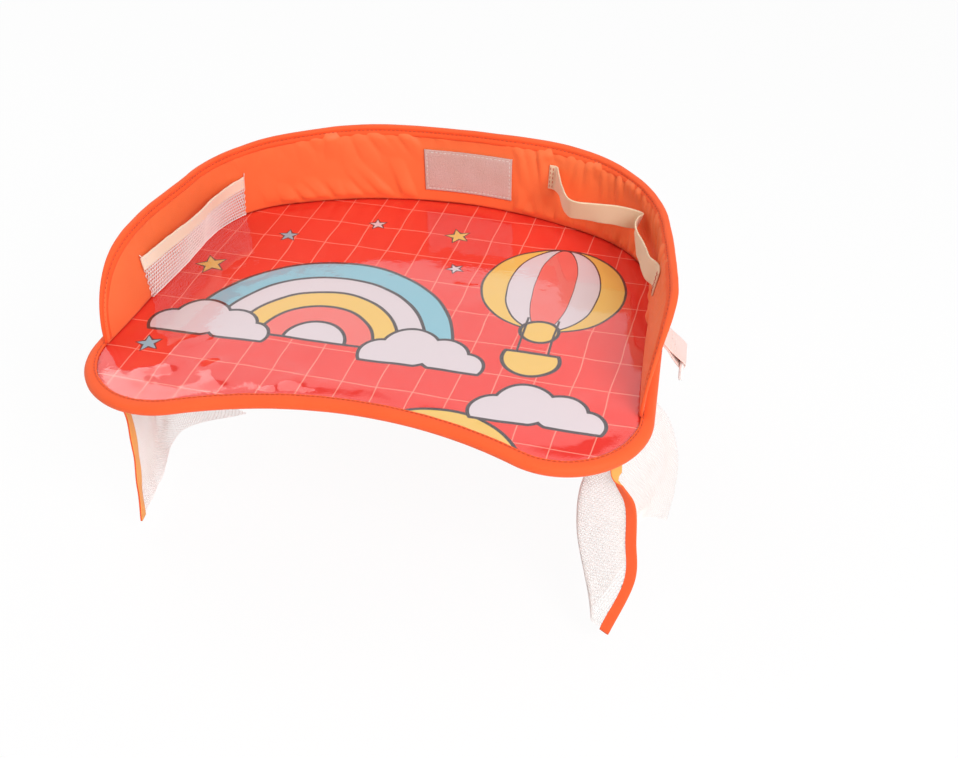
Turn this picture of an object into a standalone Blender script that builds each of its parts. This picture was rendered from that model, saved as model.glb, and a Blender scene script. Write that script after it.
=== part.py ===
"""A car seat tray table: a soft kidney-shaped tray with a padded wall, a net pocket, a bottle loop,
strap tabs and two net skirts.

Metres, with +X towards the bottle loop's side, +Y towards the back wall and +Z up. The origin is on
the tray's underside, in the middle of its width and depth.
"""
from collections import namedtuple
from math import atan2, ceil, cos, pi, radians, sin, sqrt

import bmesh
import bpy
from mathutils import Matrix, Vector

# Plan of the tray, measured to the outside of the edge tape
TRAY_WIDTH = 0.416
TRAY_DEPTH = 0.327
BELLY_DEPTH = 0.031
FRONT_CORNER_RADIUS = 0.062
BACK_CORNER_RADIUS = 0.102
BACK_RADIUS = 0.324
SIDE_TAPER = radians(3)

# Fits and fineness
SEAM_GAP = 0.0003
CHORD_DEVIATION = 0.00012
CLOSEST_STATIONS = 0.003

# Layers of the base, from the underside up
LINING_THICKNESS = 0.0006
BOARD_THICKNESS = 0.0024
FOAM_THICKNESS = 0.002
PRINT_THICKNESS = 0.0006
FILM_THICKNESS = 0.0004
LAYER_INSET = 0.003
PANEL_INSET = 0.030
SEAM_PRESS = 0.0001

# Tape folded round the edge of the base
EDGE_TAPE_THICKNESS = 0.0009
EDGE_TAPE_WIDTH = 0.010
EDGE_TAPE_ROUNDING = 0.0016

# Wall
WALL_INSET = 0.0065
WALL_HEIGHT = 0.0665
WALL_FOAM_THICKNESS = 0.005
WALL_FABRIC_THICKNESS = 0.0007
WALL_END_LENGTH = 0.062
WALL_END_CUT_ANGLE = radians(12)
WALL_END_STEP = radians(9)
WALL_TAPE_THICKNESS = 0.0009
WALL_TAPE_WIDTH = 0.009

# Hook-and-loop patch on the inside of the back wall
PATCH_MIDDLE = 0.019
PATCH_WIDTH = 0.080
PATCH_BOTTOM = 0.012
PATCH_HEIGHT = 0.038
PATCH_THICKNESS = 0.0014

# Net pocket on the inside of the left wall, with its length along the tray's edge
POCKET_TO_WALL_END = 0.0562
POCKET_LENGTH = 0.152
POCKET_NET_HEIGHT = 0.028
POCKET_NET_THICKNESS = 0.0008
POCKET_BAND_HEIGHT = 0.012
POCKET_BAND_THICKNESS = 0.0012
POCKET_MOUTH_BULGE = 0.009
POCKET_FOOT_BULGE = 0.004
POCKET_COLUMNS = 16
POCKET_ROWS = 3

# Elastic bottle loop inside the back right corner: distance along the edge, and reach from the wall's face
LOOP_FIRST_SEAM = 0.093
LOOP_LEAVES_WALL = 0.101
LOOP_NEAR_BEND = (0.139, 0.034)
LOOP_FAR_BEND = (0.208, 0.004)
LOOP_SAG = (0.236, 0.012)
LOOP_MEETS_WALL = 0.288
LOOP_LAST_SEAM = 0.299
LOOP_BOTTOM = 0.031
LOOP_BAND_WIDTH = 0.021
LOOP_BAND_THICKNESS = 0.0012
LOOP_BEND_TRIM = 0.004
BEND_STEPS = 4

# Strap tabs on the outside of the side walls
TAB_TO_WALL_END = 0.0847
TAB_SEAM_HEIGHT = 0.022
TAB_SEAM_REACH = 0.0019
TAB_REACH = 0.0191
TAB_DROP = 0.023
WEBBING_WIDTH = 0.025
WEBBING_THICKNESS = 0.0012
WEBBING_LAYER_GAP = 0.0004
FOLD_STEPS = 8
ANCHOR_WIDTH = 0.031
ANCHOR_HEIGHT = 0.016
ANCHOR_THICKNESS = 0.0008
ANCHOR_CLEARANCE = 0.0022

# Plastic loop in the fold of each tab
RING_WIRE_RADIUS = 0.0016
RING_SIDE_CLEARANCE = 0.0007
RING_HEIGHT = 0.011
RING_CORNER = 0.002
RING_BEVEL_RESOLUTION = 2

# Net skirts below the sides
SKIRT_SEAM_INSET = 0.022
SKIRT_SEAM_FRONT = 0.0365
SKIRT_SEAM_LENGTH = 0.093
SKIRT_SEAM_TAPE_WIDTH = 0.007
SKIRT_SEAM_TAPE_OVERHANG = 0.002
SKIRT_SEAM_TAPE_THICKNESS = 0.0008
SKIRT_SWING_CLEARANCE = 0.0005
SKIRT_DROP = 0.162
SKIRT_NET_THICKNESS = 0.0008
SKIRT_TAPE_THICKNESS = 0.0006
SKIRT_TAPE_TOP = 0.003
SKIRT_TAPE_NOSE_SHARE = 0.5
SKIRT_ROWS = 12
SKIRT_COLUMN_SHARES = (
    0, 0.03, 0.06, 0.13, 0.20, 0.29, 0.35, 0.41, 0.48, 0.55, 0.62, 0.70, 0.78, 0.86, 0.93, 1,
)
SKIRT_TAPE_COLUMNS = 3

# How each skirt falls: down a few lines of the cloth, from its front edge to its rear edge, five places below
# the seam, each (outwards, backwards, down) as shares of the skirt's drop. The net is fuller than its seam.
RIGHT_FOLD_SHARES = (
    ((0.02, 0.00, 0.16), (0.09, -0.01, 0.28), (0.11, -0.03, 0.48), (0.12, -0.07, 0.69), (0.03, -0.14, 0.98)),
    ((-0.1, -0.01, 0.17), (-0.16, -0.07, 0.35), (-0.15, -0.14, 0.53), (-0.1, -0.21, 0.73), (-0.05, -0.29, 0.92)),
    ((0.00, 0.06, 0.19), (-0.01, 0.00, 0.39), (0.00, -0.05, 0.56), (0.03, -0.10, 0.72), (0.06, -0.13, 0.84)),
    ((0.05, 0.07, 0.17), (0.12, 0.01, 0.34), (0.13, -0.02, 0.51), (0.12, -0.05, 0.66), (0.10, -0.08, 0.74)),
    ((0.08, 0.00, 0.14), (0.17, 0.00, 0.26), (0.23, -0.04, 0.42), (0.24, -0.09, 0.61), (0.22, -0.14, 0.80)),
)
LEFT_FOLD_SHARES = (
    ((-0.05, 0.00, 0.18), (-0.04, 0.01, 0.37), (-0.01, 0.03, 0.56), (0.03, 0.05, 0.77), (0.06, 0.06, 0.97)),
    ((-0.01, 0.02, 0.19), (-0.01, 0.04, 0.39), (0.02, 0.07, 0.58), (0.06, 0.12, 0.78), (0.08, 0.17, 0.96)),
    ((0.01, 0.02, 0.19), (0.04, 0.08, 0.39), (0.07, 0.16, 0.58), (0.11, 0.25, 0.77), (0.13, 0.33, 0.95)),
    ((0.00, -0.01, 0.19), (-0.03, 0.05, 0.37), (-0.06, 0.11, 0.56), (-0.12, 0.18, 0.73), (-0.22, 0.27, 0.87)),
)
RIGHT_SEAM_SHARES = (0, 0.32, 0.55, 0.78, 1)
LEFT_SEAM_SHARES = (0, 0.30, 0.66, 1)

# Colours, as linear red, green and blue
ORANGE = (0.90, 0.19, 0.05)
DEEP_ORANGE = (0.85, 0.13, 0.03)
PRINT_RED = (0.80, 0.05, 0.03)
CREAM = (0.87, 0.76, 0.58)
WHITE = (0.88, 0.86, 0.84)
NET_WHITE = (0.85, 0.82, 0.80)
FOAM_GREY = (0.70, 0.70, 0.68)
CLEAR = (0.95, 0.85, 0.86)

Arc = namedtuple("Arc", "centre radius start end facing length")
Line = namedtuple("Line", "start end normal length")


def arc(centre, radius, start, end, facing=1):
    """A round stretch of the edge. facing is -1 where the tray lies outside the circle."""
    return Arc(centre, radius, start, end, facing, radius * abs(end - start))


def edge_pieces():
    """The right half of the tray's edge, from the middle of the back to the middle of the front."""
    front = -TRAY_DEPTH / 2
    normal = Vector((cos(SIDE_TAPER), sin(SIDE_TAPER)))
    run = Vector((-sin(SIDE_TAPER), cos(SIDE_TAPER)))
    corner = Vector((TRAY_WIDTH / 2 - FRONT_CORNER_RADIUS, front + FRONT_CORNER_RADIUS))

    # The belly arc touches the front corner's circle from outside
    rise = FRONT_CORNER_RADIUS - BELLY_DEPTH
    belly_radius = (corner.x ** 2 + rise ** 2 - FRONT_CORNER_RADIUS ** 2) / (2 * BELLY_DEPTH)
    belly = Vector((0, front + BELLY_DEPTH - belly_radius))
    to_corner = atan2(corner.y - belly.y, corner.x)

    # The back corner's circle touches the side line and, from inside, the back arc
    back = Vector((0, TRAY_DEPTH / 2 - BACK_RADIUS))
    across = normal.dot(corner - back) + FRONT_CORNER_RADIUS - BACK_CORNER_RADIUS
    along = sqrt((BACK_RADIUS - BACK_CORNER_RADIUS) ** 2 - across ** 2)
    back_corner = back + normal * across + run * along
    to_back_corner = atan2(back_corner.y - back.y, back_corner.x)

    side_start = back_corner + normal * BACK_CORNER_RADIUS
    side_end = corner + normal * FRONT_CORNER_RADIUS
    return (
        arc(back, BACK_RADIUS, pi / 2, to_back_corner),
        arc(back_corner, BACK_CORNER_RADIUS, to_back_corner, SIDE_TAPER),
        Line(side_start, side_end, normal, (side_end - side_start).length),
        arc(corner, FRONT_CORNER_RADIUS, SIDE_TAPER, to_corner - pi),
        arc(belly, belly_radius, to_corner, pi / 2, facing=-1),
    )


EDGE = edge_pieces()
HALF_EDGE = sum(piece.length for piece in EDGE)
WALL_END = sum(piece.length for piece in EDGE[:3])


def edge_frame(distance):
    """Point and outward normal of the edge, at a distance from the back's middle. Left of it is negative."""
    side = -1 if distance < 0 else 1
    rest = abs(distance)
    for piece in EDGE:
        if rest <= piece.length or piece is EDGE[-1]:
            break
        rest -= piece.length
    share = rest / piece.length
    if isinstance(piece, Line):
        point = piece.start.lerp(piece.end, share)
        normal = piece.normal
    else:
        angle = piece.start + (piece.end - piece.start) * share
        radial = Vector((cos(angle), sin(angle)))
        point = piece.centre + radial * piece.radius
        normal = radial * piece.facing
    return Vector((side * point.x, point.y)), Vector((side * normal.x, normal.y))


def inside_edge(distance, inset, height):
    """A point at an inset from the tray's edge, in space."""
    point, normal = edge_frame(distance)
    flat = point - normal * inset
    return Vector((flat.x, flat.y, height))


def stations(low, high):
    """Distances along the edge from low to high, close enough together to follow its arcs."""
    marks = [0]
    done = 0
    for piece in EDGE:
        steps = 1
        if isinstance(piece, Arc):
            chord = sqrt(8 * piece.radius * CHORD_DEVIATION)
            steps = ceil(piece.length / chord)
        marks += [done + piece.length * (step + 1) / steps for step in range(steps)]
        done += piece.length
    both = sorted(set(marks) | {-mark for mark in marks})
    inner = [mark for mark in both if low + CLOSEST_STATIONS < mark < high - CLOSEST_STATIONS]
    return [low] + inner + [high]


# Heights of the layers, each a seam gap above the last
LINING_TOP = LINING_THICKNESS
BOARD_BOTTOM = LINING_TOP + SEAM_GAP
BOARD_TOP = BOARD_BOTTOM + BOARD_THICKNESS
FOAM_BOTTOM = BOARD_TOP + SEAM_GAP
FOAM_TOP = FOAM_BOTTOM + FOAM_THICKNESS
PRINT_BOTTOM = FOAM_TOP + SEAM_GAP
PRINT_TOP = PRINT_BOTTOM + PRINT_THICKNESS
FILM_BOTTOM = PRINT_TOP + SEAM_GAP
FILM_TOP = FILM_BOTTOM + FILM_THICKNESS
EDGE_TAPE_TOP = FILM_TOP + SEAM_GAP + EDGE_TAPE_THICKNESS
EDGE_TAPE_BOTTOM = -SEAM_GAP - EDGE_TAPE_THICKNESS

# Places along the edge, measured from the middle of the back
POCKET_FRONT_END = WALL_END - POCKET_TO_WALL_END
POCKET_BACK_END = POCKET_FRONT_END - POCKET_LENGTH
TAB_MIDDLE = WALL_END - TAB_TO_WALL_END

# Places across the wall
WALL_THICKNESS = WALL_FOAM_THICKNESS + 2 * (WALL_FABRIC_THICKNESS + SEAM_GAP)
WALL_MIDDLE = WALL_INSET + WALL_THICKNESS / 2
WALL_FACE = WALL_INSET + WALL_THICKNESS
WALL_FOOT = EDGE_TAPE_TOP + SEAM_GAP
WALL_TOP = FILM_TOP + WALL_HEIGHT


def material(name, colour, roughness, alpha=1.0):
    made = bpy.data.materials.new(name)
    made.use_nodes = True
    shader = made.node_tree.nodes["Principled BSDF"]
    shader.inputs["Base Color"].default_value = (*colour, 1)
    shader.inputs["Roughness"].default_value = roughness
    shader.inputs["Metallic"].default_value = 0
    shader.inputs["Alpha"].default_value = alpha
    made.diffuse_color = (*colour, alpha)
    return made


def add(name, data, finish, collection, carrier=None):
    """Put an object in the collection, with its own material, on the carrier that moves it."""
    made = bpy.data.objects.new(name, data)
    data.materials.append(finish)
    collection.objects.link(made)
    made.parent = carrier
    return made


def carrier_place(carrier):
    return carrier.location.copy() if carrier else Vector((0, 0, 0))


def plate(name, low, high, finish, collection):
    """A flat layer of the base, from low to high."""
    curve = bpy.data.curves.new(name, "CURVE")
    curve.dimensions = "2D"
    curve.fill_mode = "BOTH"
    curve.extrude = (high - low) / 2
    outline = [inside_edge(mark, LAYER_INSET, 0) for mark in stations(-HALF_EDGE, HALF_EDGE)[:-1]]
    spline = curve.splines.new("POLY")
    spline.points.add(len(outline) - 1)
    for corner, place in zip(spline.points, outline):
        corner.co = (*place, 1)
    spline.use_cyclic_u = True
    made = add(name, curve, finish, collection)
    made.location.z = (low + high) / 2
    return made


def thicken(made, thickness):
    """Give an open surface its thickness, half to each side."""
    solidify = made.modifiers.new("Thickness", "SOLIDIFY")
    solidify.thickness = thickness
    solidify.offset = 0
    solidify.use_even_offset = True


def outer_sheet(name, low, high, press, finish, collection):
    """An outer layer of the base, from low to high. Its middle panel is flat, and the seams press its rim
    into the base."""
    marks = stations(-HALF_EDGE, HALF_EDGE)[:-1]
    count = len(marks)
    middle = (low + high) / 2
    points = [inside_edge(mark, LAYER_INSET, middle + press) for mark in marks]
    points += [inside_edge(mark, PANEL_INSET, middle) for mark in marks]
    faces = [tuple(range(2 * count - 1, count - 1, -1))]
    for index in range(count):
        after = (index + 1) % count
        faces.append((after, index, count + index, count + after))
    mesh = bpy.data.meshes.new(name)
    mesh.from_pydata(points, [], faces)
    made = add(name, mesh, finish, collection)
    thicken(made, high - low)


def shell(name, rows, thickness, finish, collection, carrier=None, closed=False, fold=None):
    """A cloth or tape: an open surface through the rows of points, thickened evenly to both sides.
    Where a fold column is given the faces are split in two, the other way before the fold, so that the
    legs of a folded tape match the twisted cloth between them."""
    place = carrier_place(carrier)
    width = len(rows[0])
    points = [point - place for row in rows for point in row]
    turns = len(rows) if closed else len(rows) - 1
    faces = []
    for row in range(turns):
        here = row * width
        there = (row + 1) % len(rows) * width
        for column in range(width - 1):
            first, second = here + column, there + column
            third, fourth = second + 1, first + 1
            if fold is None:
                faces.append((first, second, third, fourth))
            elif column < fold:
                faces += [(first, second, fourth), (second, third, fourth)]
            else:
                faces += [(first, second, third), (first, third, fourth)]
    mesh = bpy.data.meshes.new(name)
    mesh.from_pydata(points, [], faces)
    made = add(name, mesh, finish, collection, carrier)
    thicken(made, thickness)
    return made


def block(name, low, high, finish, collection):
    """A straight strip between two corners."""
    mesh = bpy.data.meshes.new(name)
    shape = bmesh.new()
    bmesh.ops.create_cube(shape, size=1)
    size = high - low
    bmesh.ops.transform(shape, matrix=Matrix.Diagonal((*size, 1)), verts=shape.verts)
    shape.to_mesh(mesh)
    shape.free()
    made = add(name, mesh, finish, collection)
    made.location = (low + high) / 2
    return made


def hinge_empty(name, place, collection):
    """An empty on a joint's axis, which carries the pieces that turn about it."""
    made = bpy.data.objects.new(name, None)
    made.location = place
    collection.objects.link(made)
    return made


def soften(points, trim):
    """A plan path with each corner cut back by trim and turned by a short curve."""
    path = [points[0]]
    for before, corner, after in zip(points, points[1:], points[2:]):
        start = corner + (before - corner).normalized() * trim
        end = corner + (after - corner).normalized() * trim
        for step in range(BEND_STEPS + 1):
            share = step / BEND_STEPS
            path.append(start.lerp(corner, share).lerp(corner.lerp(end, share), share))
    path.append(points[-1])
    return path


def through(places, share):
    """A smooth line through four places that share equal stretches, read at a share of its length."""
    stretches = len(places) - 1
    index = min(int(share * stretches), stretches - 1)
    t = share * stretches - index
    first, second = places[index], places[index + 1]
    before = places[index - 1] if index > 0 else first * 2 - second
    after = places[index + 2] if index + 2 < len(places) else second * 2 - first
    leave = (second - before) / 2
    arrive = (after - first) / 2
    climb = 3 * t ** 2 - 2 * t ** 3
    return (
        first * (1 - climb)
        + second * climb
        + leave * (t ** 3 - 2 * t ** 2 + t)
        + arrive * (t ** 3 - t ** 2)
    )


def base_layers(collection):
    lining = material("lining_fabric", DEEP_ORANGE, 0.8)
    outer_sheet("bottom_lining", 0, LINING_TOP, SEAM_PRESS, lining, collection)
    plate("base_board", BOARD_BOTTOM, BOARD_TOP, material("board_plastic", WHITE, 0.5), collection)
    plate("base_foam", FOAM_BOTTOM, FOAM_TOP, material("base_foam_sheet", FOAM_GREY, 0.9), collection)
    plate("print_panel", PRINT_BOTTOM, PRINT_TOP, material("printed_fabric", PRINT_RED, 0.6), collection)
    film = material("clear_film", CLEAR, 0.08, alpha=0.3)
    outer_sheet("clear_cover_film", FILM_BOTTOM, FILM_TOP, -SEAM_PRESS, film, collection)


def edge_binding(collection):
    """Tape folded round the base's edge, all the way round."""
    half = EDGE_TAPE_THICKNESS / 2
    top = EDGE_TAPE_TOP - half
    bottom = EDGE_TAPE_BOTTOM + half
    section = (
        (EDGE_TAPE_WIDTH, top),
        (half + EDGE_TAPE_ROUNDING, top),
        (half, top - EDGE_TAPE_ROUNDING),
        (half, bottom + EDGE_TAPE_ROUNDING),
        (half + EDGE_TAPE_ROUNDING, bottom),
        (EDGE_TAPE_WIDTH, bottom),
    )
    marks = stations(-HALF_EDGE, HALF_EDGE)[:-1]
    rows = [[inside_edge(mark, inset, height) for inset, height in section] for mark in marks]
    finish = material("edge_tape", ORANGE, 0.7)
    shell("edge_binding", rows, EDGE_TAPE_THICKNESS, finish, collection, closed=True)


def wall_columns(first_angle):
    """Columns of the wall from its left end to its right end: distance, top, and which way is outwards
    there, as parts towards the near end and up. The ends follow a quarter of an ellipse."""
    rise = WALL_TOP - WALL_FOOT
    steps = ceil((pi / 2 - first_angle) / WALL_END_STEP)
    end = []
    for step in range(steps + 1):
        angle = first_angle + (pi / 2 - first_angle) * step / steps
        outwards = Vector((rise * cos(angle), WALL_END_LENGTH * sin(angle))).normalized()
        distance = WALL_END - WALL_END_LENGTH * (1 - cos(angle))
        end.append((distance, WALL_FOOT + rise * sin(angle), outwards))
    straight = WALL_END - WALL_END_LENGTH
    middle = [(mark, WALL_TOP, Vector((0, 1))) for mark in stations(-straight, straight)[1:-1]]
    left = [(-distance, top, outwards) for distance, top, outwards in end]
    return left + middle + end[::-1]


def wall_sheet(name, middle, foot, thickness, finish, collection):
    """One upright layer of the wall, at an inset from the tray's edge."""
    rows = []
    for distance, top, _ in wall_columns(WALL_END_CUT_ANGLE):
        rows.append([inside_edge(distance, middle, foot), inside_edge(distance, middle, top)])
    shell(name, rows, thickness, finish, collection)


def wall_layers(collection):
    half = WALL_FABRIC_THICKNESS / 2
    outer = WALL_INSET + half
    inner = WALL_FACE - half
    nylon = material("outer_nylon", ORANGE, 0.6)
    wall_sheet("wall_outer_fabric", outer, WALL_FOOT, WALL_FABRIC_THICKNESS, nylon, collection)
    padding = material("wall_padding", FOAM_GREY, 0.9)
    wall_sheet("wall_foam", WALL_MIDDLE, WALL_FOOT, WALL_FOAM_THICKNESS, padding, collection)
    nylon = material("inner_nylon", ORANGE, 0.55)
    foot = FILM_TOP + SEAM_GAP
    wall_sheet("wall_inner_fabric", inner, foot, WALL_FABRIC_THICKNESS, nylon, collection)


def wall_top_binding(collection):
    """Tape folded over the wall's top edge, down both ends to the base's edge tape."""
    half = WALL_TAPE_THICKNESS / 2
    side = WALL_THICKNESS / 2 + SEAM_GAP + half
    crown = SEAM_GAP + half
    section = (
        (side, -WALL_TAPE_WIDTH),
        (side, crown - half),
        (side - half, crown),
        (half - side, crown),
        (-side, crown - half),
        (-side, -WALL_TAPE_WIDTH),
    )
    rows = []
    for distance, top, outwards in wall_columns(0):
        towards_end = 1 if distance > 0 else -1
        row = []
        for across, out in section:
            place = distance + towards_end * out * outwards.x
            row.append(inside_edge(place, WALL_MIDDLE + across, top + out * outwards.y))
        rows.append(row)
    shell("wall_top_binding", rows, WALL_TAPE_THICKNESS, material("wall_tape", ORANGE, 0.7), collection)


def hook_loop_patch(collection):
    inset = WALL_FACE + SEAM_GAP + PATCH_THICKNESS / 2
    bottom = FILM_TOP + PATCH_BOTTOM
    top = bottom + PATCH_HEIGHT
    marks = stations(PATCH_MIDDLE - PATCH_WIDTH / 2, PATCH_MIDDLE + PATCH_WIDTH / 2)
    rows = [[inside_edge(mark, inset, bottom), inside_edge(mark, inset, top)] for mark in marks]
    finish = material("hook_and_loop", WHITE, 0.95)
    shell("hook_loop_patch", rows, PATCH_THICKNESS, finish, collection)


def pocket_place(share, height, thickness):
    """A point of the pocket, at a share of its length, standing off the wall more at its mouth."""
    net_foot = FILM_TOP + SEAM_GAP
    mouth = net_foot + POCKET_NET_HEIGHT + SEAM_GAP + POCKET_BAND_HEIGHT
    up = (height - net_foot) / (mouth - net_foot)
    bulge = POCKET_FOOT_BULGE + (POCKET_MOUTH_BULGE - POCKET_FOOT_BULGE) * up
    distance = POCKET_BACK_END + POCKET_LENGTH * share
    inset = WALL_FACE + SEAM_GAP + thickness / 2 + bulge * sin(pi * share)
    return inside_edge(-distance, inset, height)


def pocket_sheet(name, low, high, rows, thickness, finish, collection):
    grid = []
    for column in range(POCKET_COLUMNS + 1):
        share = column / POCKET_COLUMNS
        heights = [low + (high - low) * row / rows for row in range(rows + 1)]
        grid.append([pocket_place(share, height, thickness) for height in heights])
    shell(name, grid, thickness, finish, collection)


def pocket(collection):
    net_foot = FILM_TOP + SEAM_GAP
    net_top = net_foot + POCKET_NET_HEIGHT
    net = material("pocket_mesh", NET_WHITE, 0.8)
    pocket_sheet("pocket_net", net_foot, net_top, POCKET_ROWS, POCKET_NET_THICKNESS, net, collection)
    low = net_top + SEAM_GAP
    high = low + POCKET_BAND_HEIGHT
    elastic = material("pocket_elastic", CREAM, 0.85)
    pocket_sheet("pocket_elastic_band", low, high, 1, POCKET_BAND_THICKNESS, elastic, collection)


def bottle_loop(collection):
    """Elastic band sewn to the wall at both ends, standing off the corner between them."""
    seat = SEAM_GAP + LOOP_BAND_THICKNESS / 2
    corners = (
        (LOOP_LEAVES_WALL, seat),
        LOOP_NEAR_BEND,
        LOOP_FAR_BEND,
        LOOP_SAG,
        (LOOP_MEETS_WALL, seat),
    )
    path = [inside_edge(mark, WALL_FACE + seat, 0) for mark in (LOOP_FIRST_SEAM, LOOP_LAST_SEAM)]
    route = [inside_edge(mark, WALL_FACE + reach, 0) for mark, reach in corners]
    path = soften([path[0], *route, path[1]], LOOP_BEND_TRIM)
    bottom = Vector((0, 0, FILM_TOP + LOOP_BOTTOM))
    top = bottom + Vector((0, 0, LOOP_BAND_WIDTH))
    rows = [[place + bottom, place + top] for place in path]
    finish = material("loop_elastic", CREAM, 0.85)
    shell("bottle_loop_band", rows, LOOP_BAND_THICKNESS, finish, collection)


def tab_frame(side):
    """The tab's seam on the wall's outer face, with the directions outwards and along the wall."""
    point, normal = edge_frame(side * TAB_MIDDLE)
    out = Vector((normal.x, normal.y, 0))
    along = Vector((0, 0, 1)).cross(out)
    face = Vector((point.x, point.y, 0)) - out * WALL_INSET
    return face, out, along


def strap_tab(side, name, collection):
    """White webbing folded double round a plastic loop, under an orange patch sewn to the wall."""
    face, out, along = tab_frame(side)
    up = Vector((0, 0, 1))
    seam = face + out * TAB_SEAM_REACH + up * TAB_SEAM_HEIGHT
    fold = seam + out * TAB_REACH - up * TAB_DROP

    # The patch lies flat on the wall, just above the webbing
    half = along * ANCHOR_WIDTH / 2
    patch = face + out * (SEAM_GAP + ANCHOR_THICKNESS / 2) + up * (TAB_SEAM_HEIGHT + ANCHOR_CLEARANCE)
    rise = up * ANCHOR_HEIGHT
    rows = [[patch - half, patch - half + rise], [patch + half, patch + half + rise]]
    orange = material(name + "_tab_patch", ORANGE, 0.6)
    shell(name + "_tab_anchor", rows, ANCHOR_THICKNESS, orange, collection)

    # The webbing runs out along one layer, round the plastic bar and back along the other
    carrier = hinge_empty(name + "_tab_hinge", seam, collection)
    run = (fold - seam).normalized()
    square = along.cross(run) * side
    near = (WEBBING_LAYER_GAP + WEBBING_THICKNESS) / 2
    around = RING_WIRE_RADIUS + SEAM_GAP + WEBBING_THICKNESS / 2
    profile = [seam + square * near]
    for step in range(FOLD_STEPS + 1):
        angle = pi / 2 - pi * step / FOLD_STEPS
        profile.append(fold + run * around * cos(angle) + square * around * sin(angle))
    profile.append(seam - square * near)
    half = along * WEBBING_WIDTH / 2
    rows = [[place - half, place + half] for place in profile]
    webbing = material(name + "_webbing", WHITE, 0.8)
    shell(name + "_tab_webbing", rows, WEBBING_THICKNESS, webbing, collection, carrier)

    ring_carrier = hinge_empty(name + "_ring_hinge", fold - seam, collection)
    ring_carrier.parent = carrier
    plastic_ring(name, along, ring_carrier, collection)


def plastic_ring(name, along, carrier, collection):
    """A round-cornered wire loop that hangs from the webbing's fold. Its top bar is the hinge."""
    half = WEBBING_WIDTH / 2 + RING_SIDE_CLEARANCE + RING_WIRE_RADIUS
    up = Vector((0, 0, 1))
    corners = (-along * half, along * half, along * half - up * RING_HEIGHT, -along * half - up * RING_HEIGHT)
    path = []
    for index, corner in enumerate(corners):
        before = corners[index - 1]
        after = corners[(index + 1) % len(corners)]
        path += soften([before, corner, after], RING_CORNER)[1:-1]
    curve = bpy.data.curves.new(name + "_tab_ring", "CURVE")
    curve.dimensions = "3D"
    curve.bevel_depth = RING_WIRE_RADIUS
    curve.bevel_resolution = RING_BEVEL_RESOLUTION
    spline = curve.splines.new("POLY")
    spline.points.add(len(path) - 1)
    for point, place in zip(spline.points, path):
        point.co = (*place, 1)
    spline.use_cyclic_u = True
    add(name + "_tab_ring", curve, material(name + "_ring_plastic", WHITE, 0.3), collection, carrier)


def skirt_seam(side):
    """The front end of the line under the base that a skirt hangs from."""
    seam_tape_bottom = -SEAM_GAP - SKIRT_SEAM_TAPE_THICKNESS
    return Vector((
        side * (TRAY_WIDTH / 2 - SKIRT_SEAM_INSET),
        SKIRT_SEAM_FRONT - TRAY_DEPTH / 2,
        seam_tape_bottom - SKIRT_SWING_CLEARANCE,
    ))


def skirt_place(side, along, down):
    """A point of a skirt's cloth, at shares of its way from front to rear and from the seam down."""
    folds = RIGHT_FOLD_SHARES if side > 0 else LEFT_FOLD_SHARES
    seam_shares = RIGHT_SEAM_SHARES if side > 0 else LEFT_SEAM_SHARES
    lines = []
    for line, seam_share in zip(folds, seam_shares):
        top = skirt_seam(side) + Vector((0, SKIRT_SEAM_LENGTH * seam_share, 0))
        places = [top]
        for outwards, backwards, drop in line:
            places.append(top + Vector((side * outwards, backwards, -drop)) * SKIRT_DROP)
        lines.append(through(places, down))
    return through(lines, along)


def skirt_normal(side, along, down):
    """The cloth's own normal, from two short steps along its surface."""
    step = 1 / (SKIRT_ROWS * len(SKIRT_COLUMN_SHARES))
    ahead = min(along + step, 1)
    below = min(down + step, 1)
    across = skirt_place(side, ahead, below) - skirt_place(side, ahead - step, below)
    drop = skirt_place(side, ahead, below) - skirt_place(side, ahead, below - step)
    return across.cross(drop).normalized()


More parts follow.
